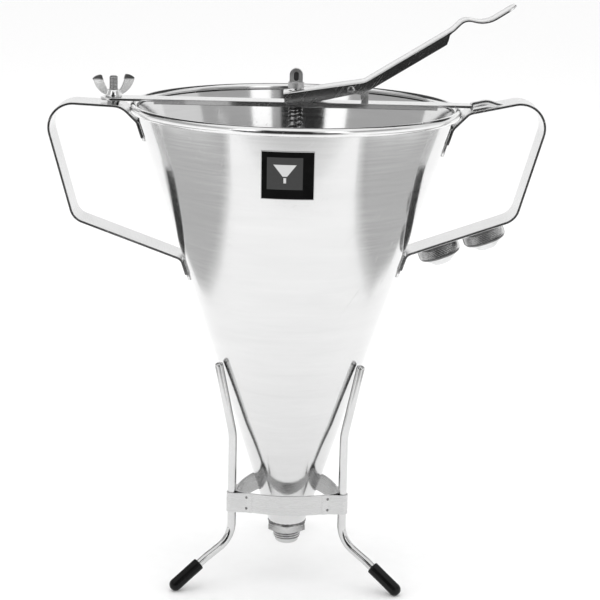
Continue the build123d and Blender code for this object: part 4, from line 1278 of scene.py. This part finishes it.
def wall_card(name, turn_from, turn_to, low, high, tone):
    """Glowing curved card round the object, seen only in reflections; turns in degrees from the front,
    positive to the right.
    """
    distance, middle_z, columns = 1.7, 0.28, 12
    bm = bmesh.new()
    edges = []
    for tilt in (low, high):
        z = middle_z + distance * math.tan(math.radians(tilt))
        turns = [math.radians(turn_from + (turn_to - turn_from) * k / columns) for k in range(columns + 1)]
        edges.append([bm.verts.new((distance * math.sin(a), -distance * math.cos(a), z)) for a in turns])
    for k in range(columns):
        bm.faces.new((edges[0][k], edges[0][k + 1], edges[1][k + 1], edges[1][k]))
    reflection_card(name, bm, tone)


def make_setting():
    """Table, reflection cards, lamps and the room's light."""
    bm = bmesh.new()
    bmesh.ops.create_grid(bm, x_segments=2, y_segments=2, size=12.0)
    floor = new_piece("table", bm, outward=False)
    paint(floor, floor_finish())

    left = [(-0.33, -0.27), (-0.305, -0.20), (-0.31, -0.10), (-0.32, 0.03), (-0.32, 0.25), (-0.36, 0.49),
            (-0.48, 0.40), (-0.57, 0.21), (-0.47, -0.07), (-0.37, -0.235)]
    right = [(0.33, -0.27), (0.30, -0.20), (0.297, -0.144), (0.31, -0.05), (0.32, 0.05), (0.345, 0.13),
             (0.36, 0.22), (0.42, 0.32), (0.58, 0.38), (0.565, 0.20), (0.47, -0.07), (0.37, -0.235)]
    for step, (tone, front_tone) in enumerate(((0.56, 0.62), (0.50, 0.74), (0.66, 0.86), (0.82, 0.94))):
        drop = 0.4 * MM * step
        for name, outline, centre in (("left", left, (-0.41, 0.08)), ("right", right, (0.42, 0.05))):
            swell = 0.86 + 0.13 * step
            floor_card(f"{name}_grey_{step}", [(centre[0] + (x - centre[0]) * swell,
                                                centre[1] + (y - centre[1]) * (0.96 + 0.04 * step))
                                               for x, y in outline], tone, 3.0 * MM - drop)
        wider = 0.05 * step
        floor_card(f"front_grey_{step}", [
            (-0.12 - wider, -0.37 + wider / 2.5), (0.14 + wider, -0.37 + wider / 2.5),
            (0.26 + wider, -0.62), (-0.24 - wider, -0.62)], front_tone, 5.0 * MM - drop)
    floor_card("front_dark", [(-0.55, -0.62), (0.45, -0.62), (0.9, -1.75), (-1.1, -1.75)], 0.03)
    for name, turn_from, turn_to, low, high, tone in (
            ("front_low", -41, 30, -12, 8, 0.03), ("front_high", -25, 13, 8, 44, 0.03),
            ("left_strip", -44, -25, 8, 44, 1.4), ("right_soft", 13, 21, 8, 44, 0.45),
            ("right_strip", 21, 38, 8, 44, 1.4), ("left_wall", -120, -44, 8, 44, 0.48),
            ("right_wall", 38, 84, 8, 44, 0.46), ("right_far", 84, 125, 8, 44, 0.8),
            ("back_wall", 125, 240, 0, 21, 1.0), ("back_high", 125, 240, 21, 58, 0.05)):
        wall_card(name, turn_from, turn_to, low, high, tone)

    for name, size, power, at in (("top_box", 1.8, 9.0, (0.0, 0.1, 1.9)),
                                  ("left_box", 0.9, 2.5, (-1.5, -0.6, 1.1)),
                                  ("right_box", 0.9, 2.0, (1.5, -0.4, 1.1))):
        lamp = bpy.data.lights.new(name, "AREA")
        lamp.shape = "SQUARE"
        lamp.size = size
        lamp.energy = power
        box = bpy.data.objects.new(name, lamp)
        box.location = at
        box.rotation_euler = (Vector((0, 0, 0.2)) - Vector(at)).to_track_quat("-Z", "Y").to_euler()
        box.visible_glossy = False
        bpy.context.scene.collection.objects.link(box)

    world = bpy.data.worlds.new("soft_room")
    bpy.context.scene.world = world
    world.use_nodes = True
    light = world.node_tree.nodes["Background"]
    light.inputs["Color"].default_value = (1.0, 1.0, 1.0, 1.0)
    light.inputs["Strength"].default_value = 1.0


def make_camera():
    """Long lens that looks down a little on the front."""
    lens = bpy.data.cameras.new("camera")
    lens.lens = 105.4
    lens.sensor_width = 36.0
    camera = bpy.data.objects.new("camera", lens)
    bpy.context.scene.collection.objects.link(camera)
    pitch, roll = math.radians(-14.2), math.radians(1.3)
    look = Matrix.Rotation(math.radians(90) + pitch, 4, "X") @ Matrix.Rotation(roll, 4, "Z")
    camera.matrix_world = Matrix.Translation((0.005, -1.0, rim_z + 0.140)) @ look
    bpy.context.scene.camera = camera
    bpy.context.scene.view_settings.view_transform = "Standard"


make_hopper()
make_outlet()
make_handles()
make_bridge()
make_wing_nut()
make_lever()
make_valve()
make_nozzles()
make_label()
make_stand()
make_setting()
make_camera()
